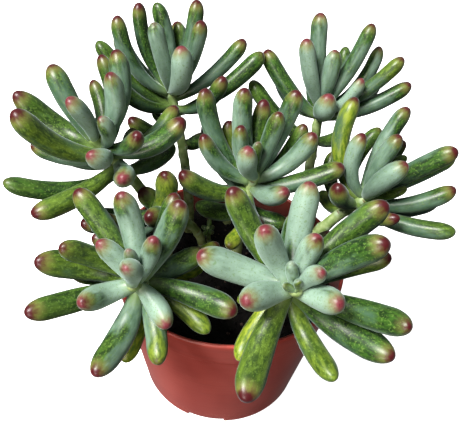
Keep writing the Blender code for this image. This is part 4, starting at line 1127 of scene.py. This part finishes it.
def crumb_grids(rng):
    """Squashed, lumpy balls of six sides, turned at random, at random places clear of the stems."""
    places = []
    feet = np.array([stem.foot_mm for stem in STEMS]) * MM
    while len(places) < CRUMBS:
        out, turn = soil_edge() * 0.97 * math.sqrt(rng.uniform()), rng.uniform(0, 2 * math.pi)
        spot = np.array([out * math.cos(turn), out * math.sin(turn)])
        if np.linalg.norm(feet - spot, axis=1).min() > 3.4 * MM:
            places.append(spot)
    spots = np.array(places)
    height = soil_top(spots, np.random.default_rng(11))
    size = between(CRUMB_SIZE, rng.uniform(0, 1, CRUMBS) ** 2.2)
    up = np.linspace(-math.pi / 2, math.pi / 2, 6)[:, None]
    angle = np.linspace(0, 2 * math.pi, 7, endpoint=False)
    ball = np.stack([np.cos(up) * np.cos(angle), np.cos(up) * np.sin(angle), np.sin(up) + 0 * angle], -1)
    lumpy = ball[None] * rng.uniform(0.75, 1.25, (CRUMBS, 6, 7, 1))
    lumpy = lumpy * np.stack([np.ones(CRUMBS), rng.uniform(0.5, 1, CRUMBS), rng.uniform(0.35, 0.8, CRUMBS)],
                             -1)[:, None, None]
    turn, lean = rng.uniform(0, 2 * math.pi, CRUMBS), rng.uniform(-0.6, 0.6, CRUMBS)
    x, y, z = np.moveaxis(lumpy, -1, 0)
    cos_l, sin_l = np.cos(lean)[:, None, None], np.sin(lean)[:, None, None]
    x, z = cos_l * x + sin_l * z, cos_l * z - sin_l * x
    cos_t, sin_t = np.cos(turn)[:, None, None], np.sin(turn)[:, None, None]
    x, y = cos_t * x - sin_t * y, sin_t * x + cos_t * y
    grid = np.stack([x, y, z], -1) * size[:, None, None, None]
    grid += np.concatenate([spots, (height + 0.25 * size)[:, None]], 1)[:, None, None]
    tone = rng.uniform(0, 1, (CRUMBS, 1, 1))
    ones = np.ones(grid.shape[:3])
    return grid, np.stack([tone * ones, ones, ones, ones], -1)


def potting_mix():
    """Moist peat and bark: near black, dull, painted paler on its lumps and darker in its hollows as painted
    light and shade, with a few paler brown and grey crumbs.
    """
    finish, tree, shader = new_finish("moist_potting_mix")
    tone = add(tree, "SeparateColor", add(tree, "Attribute", attribute_name="crumb_tone")).outputs["Red"]
    place = add(tree, "TexCoord").outputs["Object"]
    clods = add(tree, "TexNoise", place, Scale=CLODS_PER_MM / MM, Detail=5.0, Roughness=0.7)
    rise = {"interpolation_type": "SMOOTHSTEP"}
    # Painted light and shade: the mix is paler where the bump rises and near black in its hollows.
    painted_clod_shading = add(tree, "MapRange", clods, 0.35, 0.75, **rise)
    dark = add(tree, "Mix", painted_clod_shading, linear("#030202"), linear("#140E0C"), data_type="RGBA")
    pale = add(tree, "MapRange", tone, 0.86, 1.0, **rise)
    connect(shader.inputs["Base Color"], add(tree, "Mix", pale, dark, linear("#5A4840"), data_type="RGBA"))
    connect(shader.inputs["Normal"], add(tree, "Bump", Strength=0.7, Distance=0.6 * MM, Height=clods))
    connect(shader.inputs["Roughness"], 0.85)
    connect(shader.inputs["Specular IOR Level"], 0.2)
    return finish


# %% Fill the pot
moist_potting_mix = potting_mix()
add_piece("potting_mix_filling", grids_to_mesh("potting_mix_filling", soil_grid()), moist_potting_mix,
          "soil")
grid, tones = crumb_grids(np.random.default_rng(23))
add_piece("potting_mix_crumbs", grids_to_mesh("potting_mix_crumbs", grid, {"crumb_tone": tones}),
          moist_potting_mix, "soil")
print("%d crumbs lie on the soil" % CRUMBS)

# %% [markdown]
# ## Floor and light
#
# The picture has a plain white ground and soft light. A large lamp high up at the left and in front
# gives the leaves their broad highlights. A weak, low lamp in front lights the pot under them, and
# a pale sky fills the shadows from all round.

# %% Floor, lamps and sky
FLOOR_SIZE = 6.0
FLOOR_GLOW = 1.0
AIM = np.array([0.0, -5.0, 95.0]) * MM


def add_lamp(name, place, size, power, tint):
    """A square lamp of a size in metres, at a place, aimed at the plant."""
    data = bpy.data.lights.new(name, "AREA")
    data.size = size
    data.energy = power
    data.color = linear(tint)[:3]
    lamp = bpy.data.objects.new(name, data)
    bpy.context.scene.collection.objects.link(lamp)
    back = unit(np.array(place) - AIM)
    right = unit(np.cross([0.0, 0.0, 1.0], back))
    axes = np.stack([right, np.cross(back, right), back], 1)
    lamp.matrix_world = Matrix([[*row, at] for row, at in zip(axes, place)] + [[0, 0, 0, 1]])


def add_floor():
    """A flat white sheet under the pot, bright enough to stay white beside it."""
    half = FLOOR_SIZE / 2
    mesh = bpy.data.meshes.new("floor")
    corners = [(-half, -half, 0), (half, -half, 0), (half, half, 0), (-half, half, 0)]
    mesh.from_pydata(corners, [], [(0, 1, 2, 3)])
    floor = bpy.data.objects.new("floor", mesh)
    bpy.context.scene.collection.objects.link(floor)
    finish, tree, shader = new_finish("white_paper_ground")
    shader.inputs["Base Color"].default_value = linear("#FFFFFF")
    shader.inputs["Roughness"].default_value = 0.9
    shader.inputs["Emission Color"].default_value = linear("#FFFFFF")
    shader.inputs["Emission Strength"].default_value = FLOOR_GLOW
    mesh.materials.append(finish)
    floor.visible_diffuse = False
    floor.visible_glossy = False


def add_sky(above, below, strength):
    """Light from all round, bright overhead and dim from below."""
    world = bpy.data.worlds.new("studio")
    bpy.context.scene.world = world
    world.use_nodes = True
    tree = world.node_tree
    height = add(tree, "SeparateXYZ", add(tree, "TexCoord").outputs["Generated"]).outputs["Z"]
    raised = add(tree, "MapRange", height, 0.0, 0.9, interpolation_type="SMOOTHSTEP")
    colour = add(tree, "Mix", raised, linear(below), linear(above), data_type="RGBA")
    connect(tree.nodes["Background"].inputs["Color"], colour)
    tree.nodes["Background"].inputs["Strength"].default_value = strength


add_floor()
add_sky("#F6FAFF", "#3C403C", 0.30)
add_lamp("key", (-0.82, -0.66, 1.60), 0.62, 80.0, "#FFFDF8")
add_lamp("front", (-0.30, -0.85, 0.20), 0.40, 4.8, "#FFF6EE")
bpy.context.scene.view_settings.view_transform = "Standard"
